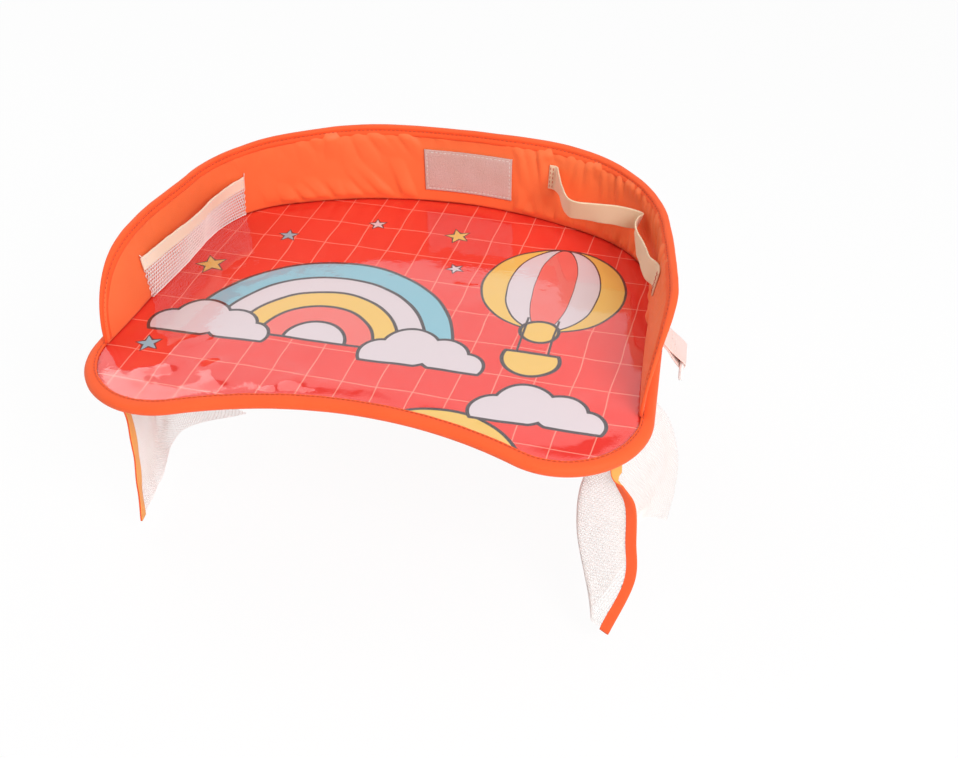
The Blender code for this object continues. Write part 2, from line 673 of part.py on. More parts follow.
def skirt(side, name, collection):
    """A limp net sewn under the base, with a tape folded round its front edge."""
    seam = skirt_seam(side)
    margin = SKIRT_SEAM_TAPE_OVERHANG
    half_width = SKIRT_SEAM_TAPE_WIDTH / 2
    low = Vector((seam.x - half_width, seam.y - margin, -SEAM_GAP - SKIRT_SEAM_TAPE_THICKNESS))
    high = Vector((seam.x + half_width, seam.y + SKIRT_SEAM_LENGTH + margin, -SEAM_GAP))
    block(name + "_skirt_seam_tape", low, high, material(name + "_seam_tape", ORANGE, 0.7), collection)

    carrier = hinge_empty(name + "_skirt_hinge", seam, collection)
    downs = [row / SKIRT_ROWS for row in range(SKIRT_ROWS + 1)]
    rows = [[skirt_place(side, share, down) for share in SKIRT_COLUMN_SHARES] for down in downs]
    net = material(name + "_skirt_mesh", NET_WHITE, 0.8)
    shell(name + "_skirt_net", rows, SKIRT_NET_THICKNESS, net, collection, carrier, fold=0)

    # The tape's two legs lie on the cloth's first columns, and its fold goes round the front edge
    reach = (SKIRT_NET_THICKNESS + SKIRT_TAPE_THICKNESS) / 2 + SEAM_GAP
    first_down = SKIRT_TAPE_TOP / SKIRT_DROP
    tape_downs = [first_down] + downs[1:]
    rows = []
    for down in tape_downs:
        legs = []
        for share in SKIRT_COLUMN_SHARES[:SKIRT_TAPE_COLUMNS]:
            legs.append((skirt_place(side, share, down), skirt_normal(side, share, down) * reach))
        edge, normal = legs[0]
        nose = edge + (edge - legs[1][0]).normalized() * reach
        row = [place + offset for place, offset in legs[::-1]]
        row += [nose + normal * SKIRT_TAPE_NOSE_SHARE, nose - normal * SKIRT_TAPE_NOSE_SHARE]
        row += [place - offset for place, offset in legs]
        rows.append(row)
    tape = material(name + "_skirt_tape", ORANGE, 0.7)
    thickness = SKIRT_TAPE_THICKNESS
    shell(name + "_skirt_edge_tape", rows, thickness, tape, collection, carrier, fold=SKIRT_TAPE_COLUMNS)


def build():
    for old in list(bpy.data.objects):
        bpy.data.objects.remove(old, do_unlink=True)
    collection = bpy.data.collections.new("car_seat_tray_table")
    bpy.context.scene.collection.children.link(collection)
    base_layers(collection)
    edge_binding(collection)
    wall_layers(collection)
    wall_top_binding(collection)
    hook_loop_patch(collection)
    pocket(collection)
    bottle_loop(collection)
    for side, name in ((1, "right"), (-1, "left")):
        strap_tab(side, name, collection)
        skirt(side, name, collection)


build()
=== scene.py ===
# %% [markdown]
# # A soft lap tray for a child's car seat
#
# The tray is sewn: a board and foam between a lining and a printed cloth under clear film, a padded
# wall round the back, tape folded over every raw edge, a net pocket, a bottle loop, two strap tabs
# and two net skirts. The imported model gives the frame. It holds the sizes, the bodies and the
# joints, and this script dresses it with cloth that has folds, seams and threads.
#
# Loading the frame comes first, because every piece rides on one of its bodies.

# %% Load the frame
from collections import namedtuple
from math import atan2, ceil, cos, exp, floor, hypot, pi, radians, sin, sqrt

import bpy
import numpy as np
from mathutils import Matrix, Vector, noise


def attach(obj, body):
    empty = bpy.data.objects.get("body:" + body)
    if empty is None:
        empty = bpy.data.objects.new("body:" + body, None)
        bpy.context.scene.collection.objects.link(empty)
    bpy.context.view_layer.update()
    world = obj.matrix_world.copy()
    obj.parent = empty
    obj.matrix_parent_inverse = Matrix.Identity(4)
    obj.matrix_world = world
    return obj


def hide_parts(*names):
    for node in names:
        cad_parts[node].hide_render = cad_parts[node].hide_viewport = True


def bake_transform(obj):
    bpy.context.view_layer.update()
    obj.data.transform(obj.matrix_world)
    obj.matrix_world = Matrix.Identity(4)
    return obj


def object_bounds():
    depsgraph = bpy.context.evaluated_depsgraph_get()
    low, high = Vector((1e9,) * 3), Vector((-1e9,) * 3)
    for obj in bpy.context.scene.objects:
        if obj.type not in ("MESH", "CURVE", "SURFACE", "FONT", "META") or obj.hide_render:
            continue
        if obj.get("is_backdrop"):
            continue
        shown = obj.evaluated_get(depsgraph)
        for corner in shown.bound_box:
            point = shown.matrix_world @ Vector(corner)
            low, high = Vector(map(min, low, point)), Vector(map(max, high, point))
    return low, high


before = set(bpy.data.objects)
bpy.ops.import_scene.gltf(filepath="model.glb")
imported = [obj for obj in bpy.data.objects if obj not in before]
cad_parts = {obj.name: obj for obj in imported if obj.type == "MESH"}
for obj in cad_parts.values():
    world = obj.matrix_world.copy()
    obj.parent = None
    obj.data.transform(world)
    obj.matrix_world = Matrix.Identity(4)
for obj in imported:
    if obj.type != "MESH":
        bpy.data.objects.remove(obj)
cad_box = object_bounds()
scene = bpy.context.scene
print("nodes:", len(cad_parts))

# %% [markdown]
# ## Camera
#
# The photograph looks down into the tray from the front, a little from the right. A camera can be
# aimed with a Track To constraint, but a photograph also has a small roll, so the three axes of the
# camera are worked out here and put straight into its matrix.

# %% Set the camera at the photograph's angle
PHOTO_WIDTH_PIXELS = 958
FOCAL_PIXELS = 1200
SENSOR_WIDTH_MM = 36
CAMERA_AZIMUTH = radians(14.14)
CAMERA_ELEVATION = radians(38.81)
CAMERA_ROLL = radians(-1.28)
CAMERA_PLACE = Vector((0.2425, -0.7220, 0.5387))

back = Vector((
    sin(CAMERA_AZIMUTH) * cos(CAMERA_ELEVATION),
    -cos(CAMERA_AZIMUTH) * cos(CAMERA_ELEVATION),
    sin(CAMERA_ELEVATION),
))
level = (-back).cross(Vector((0, 0, 1))).normalized()
upright = level.cross(-back)
right = level * cos(CAMERA_ROLL) + upright * sin(CAMERA_ROLL)
up = upright * cos(CAMERA_ROLL) - level * sin(CAMERA_ROLL)

lens = bpy.data.cameras.new("photo_camera")
lens.sensor_width = SENSOR_WIDTH_MM
lens.lens = SENSOR_WIDTH_MM * FOCAL_PIXELS / PHOTO_WIDTH_PIXELS
camera = bpy.data.objects.new("photo_camera", lens)
scene.collection.objects.link(camera)
camera.matrix_world = Matrix.Translation(CAMERA_PLACE) @ Matrix((right, up, back)).transposed().to_4x4()
scene.camera = camera
scene.view_settings.view_transform = "Standard"
print("lens", round(lens.lens, 2), "mm")

# %% [markdown]
# ## Studio
#
# The photograph has a white ground. A brighter lamp would turn the floor white, but it would bleach
# the cloth as well. So the floor's material adds its white for camera and glossy rays alone, with
# Light Path, and mixes in enough of the lit floor to keep the object's shadow. The world does the
# same: it is white to look at, and half as strong as a light. Overhead it is darker for gloss, or
# the film would mirror white and look milky. A key lamp stands at the right front, and a large weak
# one at the left fills its shadows.

# %% Helpers for shader nodes
def connect(tree, value, socket):
    """Link a socket to an input, or set it to a value. A colour is given as red, green and blue."""
    if isinstance(value, bpy.types.NodeSocket):
        tree.links.new(value, socket)
    elif socket.type == "RGBA":
        socket.default_value = (*value, 1)
    else:
        socket.default_value = value


def give(tree, node, **values):
    """Feed or set the inputs of a node by their names. Any other name is a property of the node."""
    sockets = {socket.name.lower().replace(" ", "_"): socket for socket in list(node.inputs)[::-1]}
    for name, value in values.items():
        if name in sockets:
            connect(tree, value, sockets[name])
        else:
            setattr(node, name, value)
    return node


def add_node(tree, kind, **values):
    return give(tree, tree.nodes.new(kind), **values)


def maths(tree, operation, *terms, clamp=False):
    """The result of a Math node. Each term is a number or a socket."""
    made = add_node(tree, "ShaderNodeMath", operation=operation, use_clamp=clamp)
    for socket, term in zip(made.inputs, terms):
        connect(tree, term, socket)
    return made.outputs[0]


def mix_colours(tree, share, first, second):
    """The colour between two colours, each given as red, green and blue or as a socket."""
    made = add_node(tree, "ShaderNodeMix", data_type="RGBA")
    for index, term in ((0, share), (6, first), (7, second)):
        connect(tree, term, made.inputs[index])
    return made.outputs[2]


def seen_directly(tree):
    """1 for rays from the camera, off gloss or through clear film, and 0 for light on the object."""
    path = tree.nodes.new("ShaderNodeLightPath")
    total = maths(tree, "ADD", path.outputs["Is Camera Ray"], path.outputs["Is Glossy Ray"])
    return maths(tree, "ADD", total, path.outputs["Is Transmission Ray"], clamp=True)


# %% Floor, world and lamps
FLOOR_LEVEL = -0.176
FLOOR_HALF_WIDTH = 6.0
FLOOR_GREY = (0.9, 0.9, 0.9)
FLOOR_WHITE_SHARE = 0.93
WORLD_LIGHT = 0.52
OVERHEAD_FROM = 0.74
OVERHEAD_FULL = 0.80
OVERHEAD_SHADE = 0.85
KEY_WATTS = 20.0
KEY_SIZE = 0.9
KEY_PLACE = Vector((0.95, -0.95, 1.0))
FILL_WATTS = 8.0
FILL_SIZE = 1.4
FILL_PLACE = Vector((-1.0, 0.3, 1.3))

floor_mesh = bpy.data.meshes.new("floor")
wide = FLOOR_HALF_WIDTH
corners = [(x, y, FLOOR_LEVEL) for x, y in ((-wide, -wide), (wide, -wide), (wide, wide), (-wide, wide))]
floor_mesh.from_pydata(corners, [], [(0, 1, 2, 3)])
floor_piece = bpy.data.objects.new("floor", floor_mesh)
scene.collection.objects.link(floor_piece)
floor_piece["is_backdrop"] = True

white_floor = bpy.data.materials.new("white_floor")
white_floor.use_nodes = True
tree = white_floor.node_tree
tree.nodes.clear()
lit = add_node(tree, "ShaderNodeBsdfDiffuse", color=FLOOR_GREY)
white = add_node(tree, "ShaderNodeEmission", color=(1, 1, 1), strength=1.0)
white_share = maths(tree, "MULTIPLY", seen_directly(tree), FLOOR_WHITE_SHARE)
blend = tree.nodes.new("ShaderNodeMixShader")
for socket, source in zip(blend.inputs, (white_share, lit.outputs[0], white.outputs[0])):
    tree.links.new(source, socket)
add_node(tree, "ShaderNodeOutputMaterial", surface=blend.outputs[0])
floor_mesh.materials.append(white_floor)

world = bpy.data.worlds.new("studio")
scene.world = world
world.use_nodes = True
tree = world.node_tree
strength = maths(tree, "ADD", maths(tree, "MULTIPLY", seen_directly(tree), 1 - WORLD_LIGHT), WORLD_LIGHT)
sky = tree.nodes.new("ShaderNodeTexCoord").outputs["Generated"]
heading = add_node(tree, "ShaderNodeSeparateXYZ", vector=sky).outputs[2]
overhead = add_node(tree, "ShaderNodeMapRange", from_min=OVERHEAD_FROM, from_max=OVERHEAD_FULL, value=heading)
glossy = tree.nodes.new("ShaderNodeLightPath").outputs["Is Glossy Ray"]
shade = maths(tree, "MULTIPLY", maths(tree, "MULTIPLY", overhead.outputs[0], glossy), OVERHEAD_SHADE)
strength = maths(tree, "MULTIPLY", strength, maths(tree, "SUBTRACT", 1.0, shade))
give(tree, tree.nodes["Background"], color=(1, 1, 1), strength=strength)


def soft_lamp(name, place, size, watts):
    data = bpy.data.lights.new(name, "AREA")
    data.shape = "DISK"
    data.size = size
    data.energy = watts
    lamp = bpy.data.objects.new(name, data)
    lamp.location = place
    lamp.rotation_euler = (-place).to_track_quat("-Z", "Y").to_euler()
    scene.collection.objects.link(lamp)


soft_lamp("key_lamp", KEY_PLACE, KEY_SIZE, KEY_WATTS)
soft_lamp("fill_lamp", FILL_PLACE, FILL_SIZE, FILL_WATTS)
print("floor at", FLOOR_LEVEL, "m")

# %% [markdown]
# ## The tray's outline
#
# Everything on the tray follows one outline: a back arc, two back corners, two straight sides, two
# front corners and the belly's cut-out. It could be traced as a list of points, but arcs stay round
# at any fineness, and a distance along them places every seam. So the outline is built from its
# radii, and a piece is placed by its distance along the edge, its inset from it and its height.

# %% Outline of the tray
TRAY_WIDTH = 0.416
TRAY_DEPTH = 0.327
BELLY_DEPTH = 0.031
FRONT_CORNER_RADIUS = 0.062
BACK_CORNER_RADIUS = 0.102
BACK_RADIUS = 0.324
SIDE_TAPER = radians(3)

Stretch = namedtuple("Stretch", "centre radius start end facing length")
Side = namedtuple("Side", "start end normal length")


def stretch(centre, radius, start, end, facing=1):
    return Stretch(centre, radius, start, end, facing, radius * abs(end - start))


def edge_pieces():
    """The right half of the tray's edge, from the middle of the back to the middle of the front."""
    front = -TRAY_DEPTH / 2
    normal = Vector((cos(SIDE_TAPER), sin(SIDE_TAPER)))
    run = Vector((-sin(SIDE_TAPER), cos(SIDE_TAPER)))
    corner = Vector((TRAY_WIDTH / 2 - FRONT_CORNER_RADIUS, front + FRONT_CORNER_RADIUS))
    rise = FRONT_CORNER_RADIUS - BELLY_DEPTH
    belly_radius = (corner.x ** 2 + rise ** 2 - FRONT_CORNER_RADIUS ** 2) / (2 * BELLY_DEPTH)
    belly = Vector((0, front + BELLY_DEPTH - belly_radius))
    to_corner = atan2(corner.y - belly.y, corner.x)
    middle = Vector((0, TRAY_DEPTH / 2 - BACK_RADIUS))
    across = normal.dot(corner - middle) + FRONT_CORNER_RADIUS - BACK_CORNER_RADIUS
    along = sqrt((BACK_RADIUS - BACK_CORNER_RADIUS) ** 2 - across ** 2)
    back_corner = middle + normal * across + run * along
    to_back_corner = atan2(back_corner.y - middle.y, back_corner.x)
    side_start = back_corner + normal * BACK_CORNER_RADIUS
    side_end = corner + normal * FRONT_CORNER_RADIUS
    return (
        stretch(middle, BACK_RADIUS, pi / 2, to_back_corner),
        stretch(back_corner, BACK_CORNER_RADIUS, to_back_corner, SIDE_TAPER),
        Side(side_start, side_end, normal, (side_end - side_start).length),
        stretch(corner, FRONT_CORNER_RADIUS, SIDE_TAPER, to_corner - pi),
        stretch(belly, belly_radius, to_corner, pi / 2, facing=-1),
    )


EDGE = edge_pieces()
HALF_EDGE = sum(piece.length for piece in EDGE)
WALL_END = sum(piece.length for piece in EDGE[:3])


def edge_frame(distance):
    """Point and outward normal of the edge, at a distance from the back's middle. Left of it is negative."""
    side = -1 if distance < 0 else 1
    rest = abs(distance)
    for piece in EDGE:
        if rest <= piece.length or piece is EDGE[-1]:
            break
        rest -= piece.length
    share = rest / piece.length
    if isinstance(piece, Side):
        point = piece.start.lerp(piece.end, share)
        normal = piece.normal
    else:
        angle = piece.start + (piece.end - piece.start) * share
        radial = Vector((cos(angle), sin(angle)))
        point = piece.centre + radial * piece.radius
        normal = radial * piece.facing
    return Vector((side * point.x, point.y)), Vector((side * normal.x, normal.y))


def inside_edge(distance, inset, height):
    """A point at an inset from the tray's edge, in space."""
    point, normal = edge_frame(distance)
    flat = point - normal * inset
    return Vector((flat.x, flat.y, height))


print("edge", round(2 * HALF_EDGE, 4), "m, wall ends at", round(WALL_END, 4), "m")

# %% [markdown]
# ## Cloth as a grid
#
# A sheet of cloth could be a plane with a Subdivision modifier and a displacement, but then its
# seams are hard to place. Here a sheet is rows of points worked out from the outline, so that a
# fold, a pleat or a hem goes exactly where the sewing puts it. The same rows give the sheet its UV
# map in metres, which the weaves use, and Solidify gives it the cloth's thickness.

# %% Helpers for pieces
def smooth_step(value, low, high):
    """0 below low, 1 above high, and an even turn between them."""
    share = min(max((value - low) / (high - low), 0), 1)
    return share * share * (3 - 2 * share)


def ripple(x, y, seed):
    """Soft noise from -1 to 1, the same on each run."""
    return noise.noise(Vector((x, y, seed)))


def bend(first, second, leave, arrive, t):
    """The smooth way from first to second at a share of it, with the slopes at its two ends."""
    climb = 3 * t ** 2 - 2 * t ** 3
    slopes = leave * (t ** 3 - 2 * t ** 2 + t), arrive * (t ** 3 - t ** 2)
    return first * (1 - climb) + second * climb + slopes[0] + slopes[1]


def even_steps(low, high, step):
    """Places from low to high, at most a step apart."""
    count = max(ceil((high - low) / step), 1)
    return [low + (high - low) * index / count for index in range(count + 1)]


def rows_of(firsts, seconds, place):
    """Rows of points: one row for each first value, with a point for each second value."""
    return [[place(first, second) for second in seconds] for first in firsts]


def running_length(path):
    """How far along a path each of its points is."""
    total = [0]
    for first, second in zip(path, path[1:]):
        total.append(total[-1] + (second - first).length)
    return total


def lay_map(mesh, maps):
    """The UV map named cloth, in metres, from one place for each corner of each face."""
    layer = mesh.uv_layers.new(name="cloth")
    layer.data.foreach_set("uv", np.array(maps, np.float32).ravel())


def finish_piece(mesh, finishes, smooth=True):
    """An object for a mesh, with its materials, linked to the scene."""
    for finish in finishes:
        mesh.materials.append(finish)
    if smooth:
        mesh.shade_smooth()
    made = bpy.data.objects.new(mesh.name, mesh)
    scene.collection.objects.link(made)
    return made


def thicken(piece, thickness, offset=0):
    """Thickness by Solidify. An offset of -1 lays it all behind the points, 1 before them, 0 half each."""
    solidify = piece.modifiers.new("Thickness", "SOLIDIFY")
    solidify.thickness = thickness
    solidify.offset = offset
    solidify.use_even_offset = True


def grid(name, rows, finishes, thickness, closed=False, offset=0):
    """A sheet through rows of points. Closed joins the last row to the first."""
    wide, count = len(rows[0]), len(rows)
    turns = count if closed else count - 1
    along = running_length([row[wide // 2] for row in rows + rows[:1]])
    across = running_length(rows[count // 2])
    faces = []
    maps = []
    for row in range(turns):
        here, after = row * wide, (row + 1) % count * wide
        for column in range(wide - 1):
            faces.append((here + column, after + column, after + column + 1, here + column + 1))
            corners = ((row, column), (row + 1, column), (row + 1, column + 1), (row, column + 1))
            maps += [(along[first], across[second]) for first, second in corners]
    mesh = bpy.data.meshes.new(name)
    mesh.from_pydata([point for row in rows for point in row], [], faces)
    lay_map(mesh, maps)
    made = finish_piece(mesh, finishes)
    thicken(made, thickness, offset)
    return made


def settle(piece):
    """Apply the modifiers, so that the mesh is final."""
    evaluated = piece.evaluated_get(bpy.context.evaluated_depsgraph_get())
    mesh = bpy.data.meshes.new_from_object(evaluated)
    piece.modifiers.clear()
    old = piece.data
    piece.data = mesh
    bpy.data.meshes.remove(old)
    mesh.name = piece.name
    return piece


def cut_area(piece):
    """Area of the sheet before it has its thickness, which is the cloth that was cut for it."""
    return sum(face.area for face in piece.data.polygons)


# %% [markdown]
# ## Weave, ribs and mottling
#
# Several finishes share the same effects. Nylon and lining are woven, tape and webbing have ribs,
# and all cloth is a little uneven in colour. Each effect is a node group with its own inputs, built
# once. A weave could be an image, but an image has one scale. Two crossed sine waves give the
# threads at any scale, from the UV map in metres.

# %% Node groups for cloth
MOTTLE_SPREAD = (0.3, 0.7)
MOTTLE_DETAIL = {"Patches": 2.0, "Flecks": 3.0}
RIB_HEIGHT = 0.7
THREAD_HEIGHT = 0.3


def new_group(name, outputs, kind="Float", **inputs):
    """A node group. An input is a number, its default, or a kind of socket. Outputs are of one kind."""
    tree = bpy.data.node_groups.new(name, "ShaderNodeTree")
    for label, given in inputs.items():
        socket_type = "NodeSocket" + (given if isinstance(given, str) else "Float")
        socket = tree.interface.new_socket(label.replace("_", " "), in_out="INPUT", socket_type=socket_type)
        if not isinstance(given, str):
            socket.default_value = given
    for label in outputs:
        tree.interface.new_socket(label, in_out="OUTPUT", socket_type="NodeSocket" + kind)
    return tree, tree.nodes.new("NodeGroupInput").outputs, tree.nodes.new("NodeGroupOutput").inputs


def place_group(tree, group, **values):
    """A group in a tree, with a number, a colour or a socket for each input that is named."""
    made = tree.nodes.new("ShaderNodeGroup")
    made.node_tree = group
    return give(tree, made, **values).outputs


def axes(tree, vector):
    return add_node(tree, "ShaderNodeSeparateXYZ", vector=vector).outputs


def weave_group():
    """Threads over and under each other. Height and Shade run from 0 to 1."""
    tree, given, made = new_group("plain_weave", ("Height", "Shade"), Cloth="Vector",
                                  Threads_per_metre=2500.0)
    turns = maths(tree, "MULTIPLY", given["Threads per metre"], pi)
    places = axes(tree, given["Cloth"])
    waves = [maths(tree, "SINE", maths(tree, "MULTIPLY", places[axis], turns)) for axis in (0, 1)]
    height = maths(tree, "MULTIPLY_ADD", maths(tree, "MULTIPLY", *waves), 0.5, 0.5)
    tree.links.new(height, made["Height"])
    # Shade is lowest in the grooves, and cloth() uses it to paint shade there
    tree.links.new(maths(tree, "POWER", height, 0.5), made["Shade"])
    return tree


def rib_group():
    """Rounded ribs across a tape, webbing or elastic, with fine threads along each rib."""
    tree, given, made = new_group("ribs", ("Height", "Shade"), Cloth="Vector", Ribs_per_metre=900.0,
                                  Threads_per_metre=2600.0)
    places = axes(tree, given["Cloth"])
    heights = []
    for axis, label, share in ((0, "Ribs per metre", RIB_HEIGHT), (1, "Threads per metre", THREAD_HEIGHT)):
        turn = maths(tree, "MULTIPLY", maths(tree, "MULTIPLY", places[axis], given[label]), pi)
        heights.append(maths(tree, "MULTIPLY", maths(tree, "ABSOLUTE", maths(tree, "SINE", turn)), share))
    height = maths(tree, "ADD", *heights)
    tree.links.new(height, made["Height"])
    # Shade is lowest in the grooves between ribs, and cloth() uses it to paint shade there
    tree.links.new(maths(tree, "POWER", height, 0.4), made["Shade"])
    return tree


def mottle_group():
    """Soft patches, and finer flecks over them, as a share from 0 to 1."""
    tree, given, made = new_group("mottling", ("Patches", "Flecks"), Place="Vector", Patches_per_metre=30.0,
                                  Flecks_per_metre=900.0)
    low, high = MOTTLE_SPREAD
    for label, detail in MOTTLE_DETAIL.items():
        clouds = add_node(tree, "ShaderNodeTexNoise", detail=detail, vector=given["Place"],
                          scale=given[label + " per metre"])
        spread = add_node(tree, "ShaderNodeMapRange", from_min=low, from_max=high, value=clouds.outputs[0])
        tree.links.new(spread.outputs[0], made[label])
    return tree


WEAVE = weave_group()
RIBS = rib_group()
MOTTLE = mottle_group()
print("node groups:", ", ".join(group.name for group in bpy.data.node_groups))

# %% [markdown]
# ## Cloth finishes
#
# Every cloth here has the same parts: a colour that drifts a little, threads that catch the light
# through a Bump node, painted shade that darkens the colour in the grooves between the threads, and
# a soft sheen. So one function makes them all, and each finish is its values: how coarse the threads
# are, how strong the bump is, and how much sheen there is.

# %% One function for all the cloths
FLECK_ROUGHNESS = 0.12
PATCH_SHARE = 0.5


def new_material(name, **constants):
    """A material, its tree and its shader, which has the given constants."""
    made = bpy.data.materials.new(name)
    made.use_nodes = True
    tree = made.node_tree
    return made, tree, give(tree, tree.nodes["Principled BSDF"], metallic=0, **constants)


def bump(tree, height, distance, strength=1.0):
    return add_node(tree, "ShaderNodeBump", strength=strength, distance=distance, height=height).outputs[0]


def darker(colour, fall):
    """A colour that falls off a little more in green, and more again in blue."""
    return tuple(channel * (1 - fall) ** (1 + index) for index, channel in enumerate(colour))


def cloth(name, colour, threads, ribs=0, drift=0.10, shade=0.12, bump_mm=0.05, roughness=0.7, sheen=0.2,
          sheen_tint=(1, 1, 1), fuzz=0.0):
    """A cloth, woven or with ribs. Drift is how far its colour strays in patches. Shade is painted shade:
    how much darker the colour is painted in the grooves between threads and ribs.
    """
    made, tree, shader = new_material(name, sheen_weight=sheen, sheen_roughness=0.5, sheen_tint=sheen_tint,
                                      specular_ior_level=0.3)
    place = add_node(tree, "ShaderNodeUVMap", uv_map="cloth").outputs[0]
    spot = tree.nodes.new("ShaderNodeNewGeometry").outputs["Position"]
    if ribs:
        pattern = place_group(tree, RIBS, cloth=place, ribs_per_metre=ribs, threads_per_metre=threads)
    else:
        pattern = place_group(tree, WEAVE, cloth=place, threads_per_metre=threads)
    mottling = place_group(tree, MOTTLE, place=spot)
    # Painted shade: the colour is darker in the grooves between threads and ribs, where shade falls
    base = mix_colours(tree, pattern["Shade"], darker(colour, shade), colour)
    share = maths(tree, "MULTIPLY", mottling["Patches"], PATCH_SHARE)
    rough = maths(tree, "MULTIPLY_ADD", mottling["Flecks"], FLECK_ROUGHNESS, roughness - FLECK_ROUGHNESS / 2)
    height = pattern["Height"]
    if fuzz:
        height = maths(tree, "ADD", height, maths(tree, "MULTIPLY", mottling["Flecks"], fuzz))
    give(tree, shader, base_color=mix_colours(tree, share, base, darker(colour, drift)), roughness=rough,
         normal=bump(tree, height, bump_mm * 0.001))
    return made


# %% The finishes of this tray
NYLON_ORANGE = (1.0, 0.205, 0.062)
TAPE_ORANGE = (0.95, 0.118, 0.025)
DEEP_ORANGE = (0.85, 0.09, 0.018)
PALE_ORANGE = (0.92, 0.42, 0.10)
# The thread is orange, painted darker as painted shade for the holes its stitches sit in
THREAD_ORANGE_WITH_PAINTED_SHADE = (0.60, 0.055, 0.012)
CREAM = (0.88, 0.74, 0.52)
# The webbing is white; the pink in this colour is a painted reflection of the orange cloth round it
STRAP_WHITE_WITH_PAINTED_REFLECTION = (0.90, 0.72, 0.69)
SOFT_WHITE = (0.86, 0.84, 0.82)
NET_WHITE = (0.93, 0.885, 0.865)
PALE_CREAM = (0.95, 0.86, 0.70)
# The loop pile is white; the pink in this colour is a painted reflection of the orange wall
PILE_WHITE_WITH_PAINTED_REFLECTION = (0.80, 0.62, 0.60)
WARM_SHEEN = (1.0, 0.75, 0.55)

nylon = cloth("orange_nylon", NYLON_ORANGE, 3600, bump_mm=0.03, roughness=0.5, sheen=0.12,
              sheen_tint=WARM_SHEEN)
tape = cloth("orange_tape", TAPE_ORANGE, 3000, ribs=1300, sheen=0.15, sheen_tint=WARM_SHEEN)
tape_back = cloth("tape_back", PALE_ORANGE, 3000, ribs=1300, sheen=0.1)
lining = cloth("lining_nylon", DEEP_ORANGE, 2800, bump_mm=0.04, roughness=0.6)
elastic = cloth("cream_elastic", CREAM, 900, ribs=1500, shade=0.16, bump_mm=0.10, roughness=0.8)
pocket_band = cloth("pale_elastic", PALE_CREAM, 900, ribs=1500, shade=0.10, bump_mm=0.10, roughness=0.8)
# White webbing, tinted pink as a painted reflection of the orange wall
webbing = cloth("white_webbing", STRAP_WHITE_WITH_PAINTED_REFLECTION, 1100, ribs=700, shade=0.10, bump_mm=0.12)
# The pile's pink tint is a painted reflection of the orange wall, not its own colour
loop_pile = cloth("loop_pile", PILE_WHITE_WITH_PAINTED_REFLECTION, 1500, drift=0.2, shade=0.2, bump_mm=0.25, roughness=0.95,
                  sheen=0.5, fuzz=2.0)
net_thread = cloth("net_thread", NET_WHITE, 4000, ribs=2500, shade=0.04, drift=0.03, bump_mm=0.02,
                   roughness=0.75, sheen=0.5)
orange_thread = cloth("orange_thread", THREAD_ORANGE_WITH_PAINTED_SHADE, 5000, ribs=3500, bump_mm=0.02, roughness=0.55)
white_thread = cloth("white_thread", SOFT_WHITE, 5000, ribs=3500, bump_mm=0.02, roughness=0.55)
print("cloths:", sum(1 for one in bpy.data.materials if one.use_nodes))

# %% [markdown]
# ## The printed cloth
#
# The top of the tray is a red cloth with a pale, hand-drawn grid and big flat shapes with dark
# outlines. Shapes like these could be cut out as meshes, but ink has no thickness. A signed
# distance does it in the material: it is negative inside a shape and positive outside, so one
# number gives both the fill and an even outline. Discs and stars are enough for a rainbow, a hill,
# a balloon and clouds: a disc is cut level at its foot, or squeezed, or joined with others.

# %% Node groups for the print's shapes
STAR_ARMS = 5


def vector_maths(tree, operation, *terms):
    """The outputs of a Vector Math node. Each term is a vector or a socket."""
    made = add_node(tree, "ShaderNodeVectorMath", operation=operation)
    for socket, term in zip(made.inputs, terms):
        connect(tree, term, socket)
    return made.outputs


def disc_group():
    """Signed distance to an ellipse, exact enough near its edge for an even outline."""
    tree, given, made = new_group("disc", ("Distance",), Cloth="Vector", Centre="Vector", Radius=0.02,
                                  Squeeze=1.0)
    away = axes(tree, vector_maths(tree, "SUBTRACT", given["Cloth"], given["Centre"])[0])
    wide = maths(tree, "MULTIPLY", away[0], given["Squeeze"])
    square = maths(tree, "ADD", maths(tree, "POWER", wide, 2.0), maths(tree, "POWER", away[1], 2.0))
    tree.links.new(maths(tree, "SUBTRACT", maths(tree, "SQRT", square), given["Radius"]), made["Distance"])
    return tree


def star_group():
    """About the signed distance to a star with pointed arms."""
    tree, given, made = new_group("star", ("Distance",), Cloth="Vector", Centre="Vector", Radius=0.01,
                                  Turn=0.0, Depth=0.5)
    away = vector_maths(tree, "SUBTRACT", given["Cloth"], given["Centre"])[0]
    length = vector_maths(tree, "LENGTH", away)["Value"]
    x, y, _ = axes(tree, away)
    angle = maths(tree, "ADD", maths(tree, "ARCTAN2", x, y), given["Turn"])
    aside = maths(tree, "PINGPONG", angle, pi / STAR_ARMS)
    notch = maths(tree, "SUBTRACT", 1.0, given["Depth"])
    beyond = maths(tree, "SINE", maths(tree, "SUBTRACT", pi / STAR_ARMS, aside))
    whole = maths(tree, "ADD", maths(tree, "MULTIPLY", notch, beyond), maths(tree, "SINE", aside))
    share = maths(tree, "DIVIDE", maths(tree, "MULTIPLY", notch, sin(pi / STAR_ARMS)), whole)
    reach = maths(tree, "MULTIPLY", given["Radius"], share)
    tree.links.new(maths(tree, "SUBTRACT", length, reach), made["Distance"])
    return tree


def ink_group():
    """Lays a filled shape with an outline over the colour below. Edge is the outline's half width."""
    tree, given, made = new_group("ink", ("Colour",), kind="Color", Below="Color", Fill="Color", Line="Color",
                                  Distance=0.0, Edge=0.0008)
    outer = maths(tree, "LESS_THAN", given["Distance"], given["Edge"])
    inner = maths(tree, "LESS_THAN", given["Distance"], maths(tree, "MULTIPLY", given["Edge"], -1.0))
    lined = mix_colours(tree, outer, given["Below"], given["Line"])
    tree.links.new(mix_colours(tree, inner, lined, given["Fill"]), made["Colour"])
    return tree


DISC = disc_group()
STAR = star_group()
INK = ink_group()

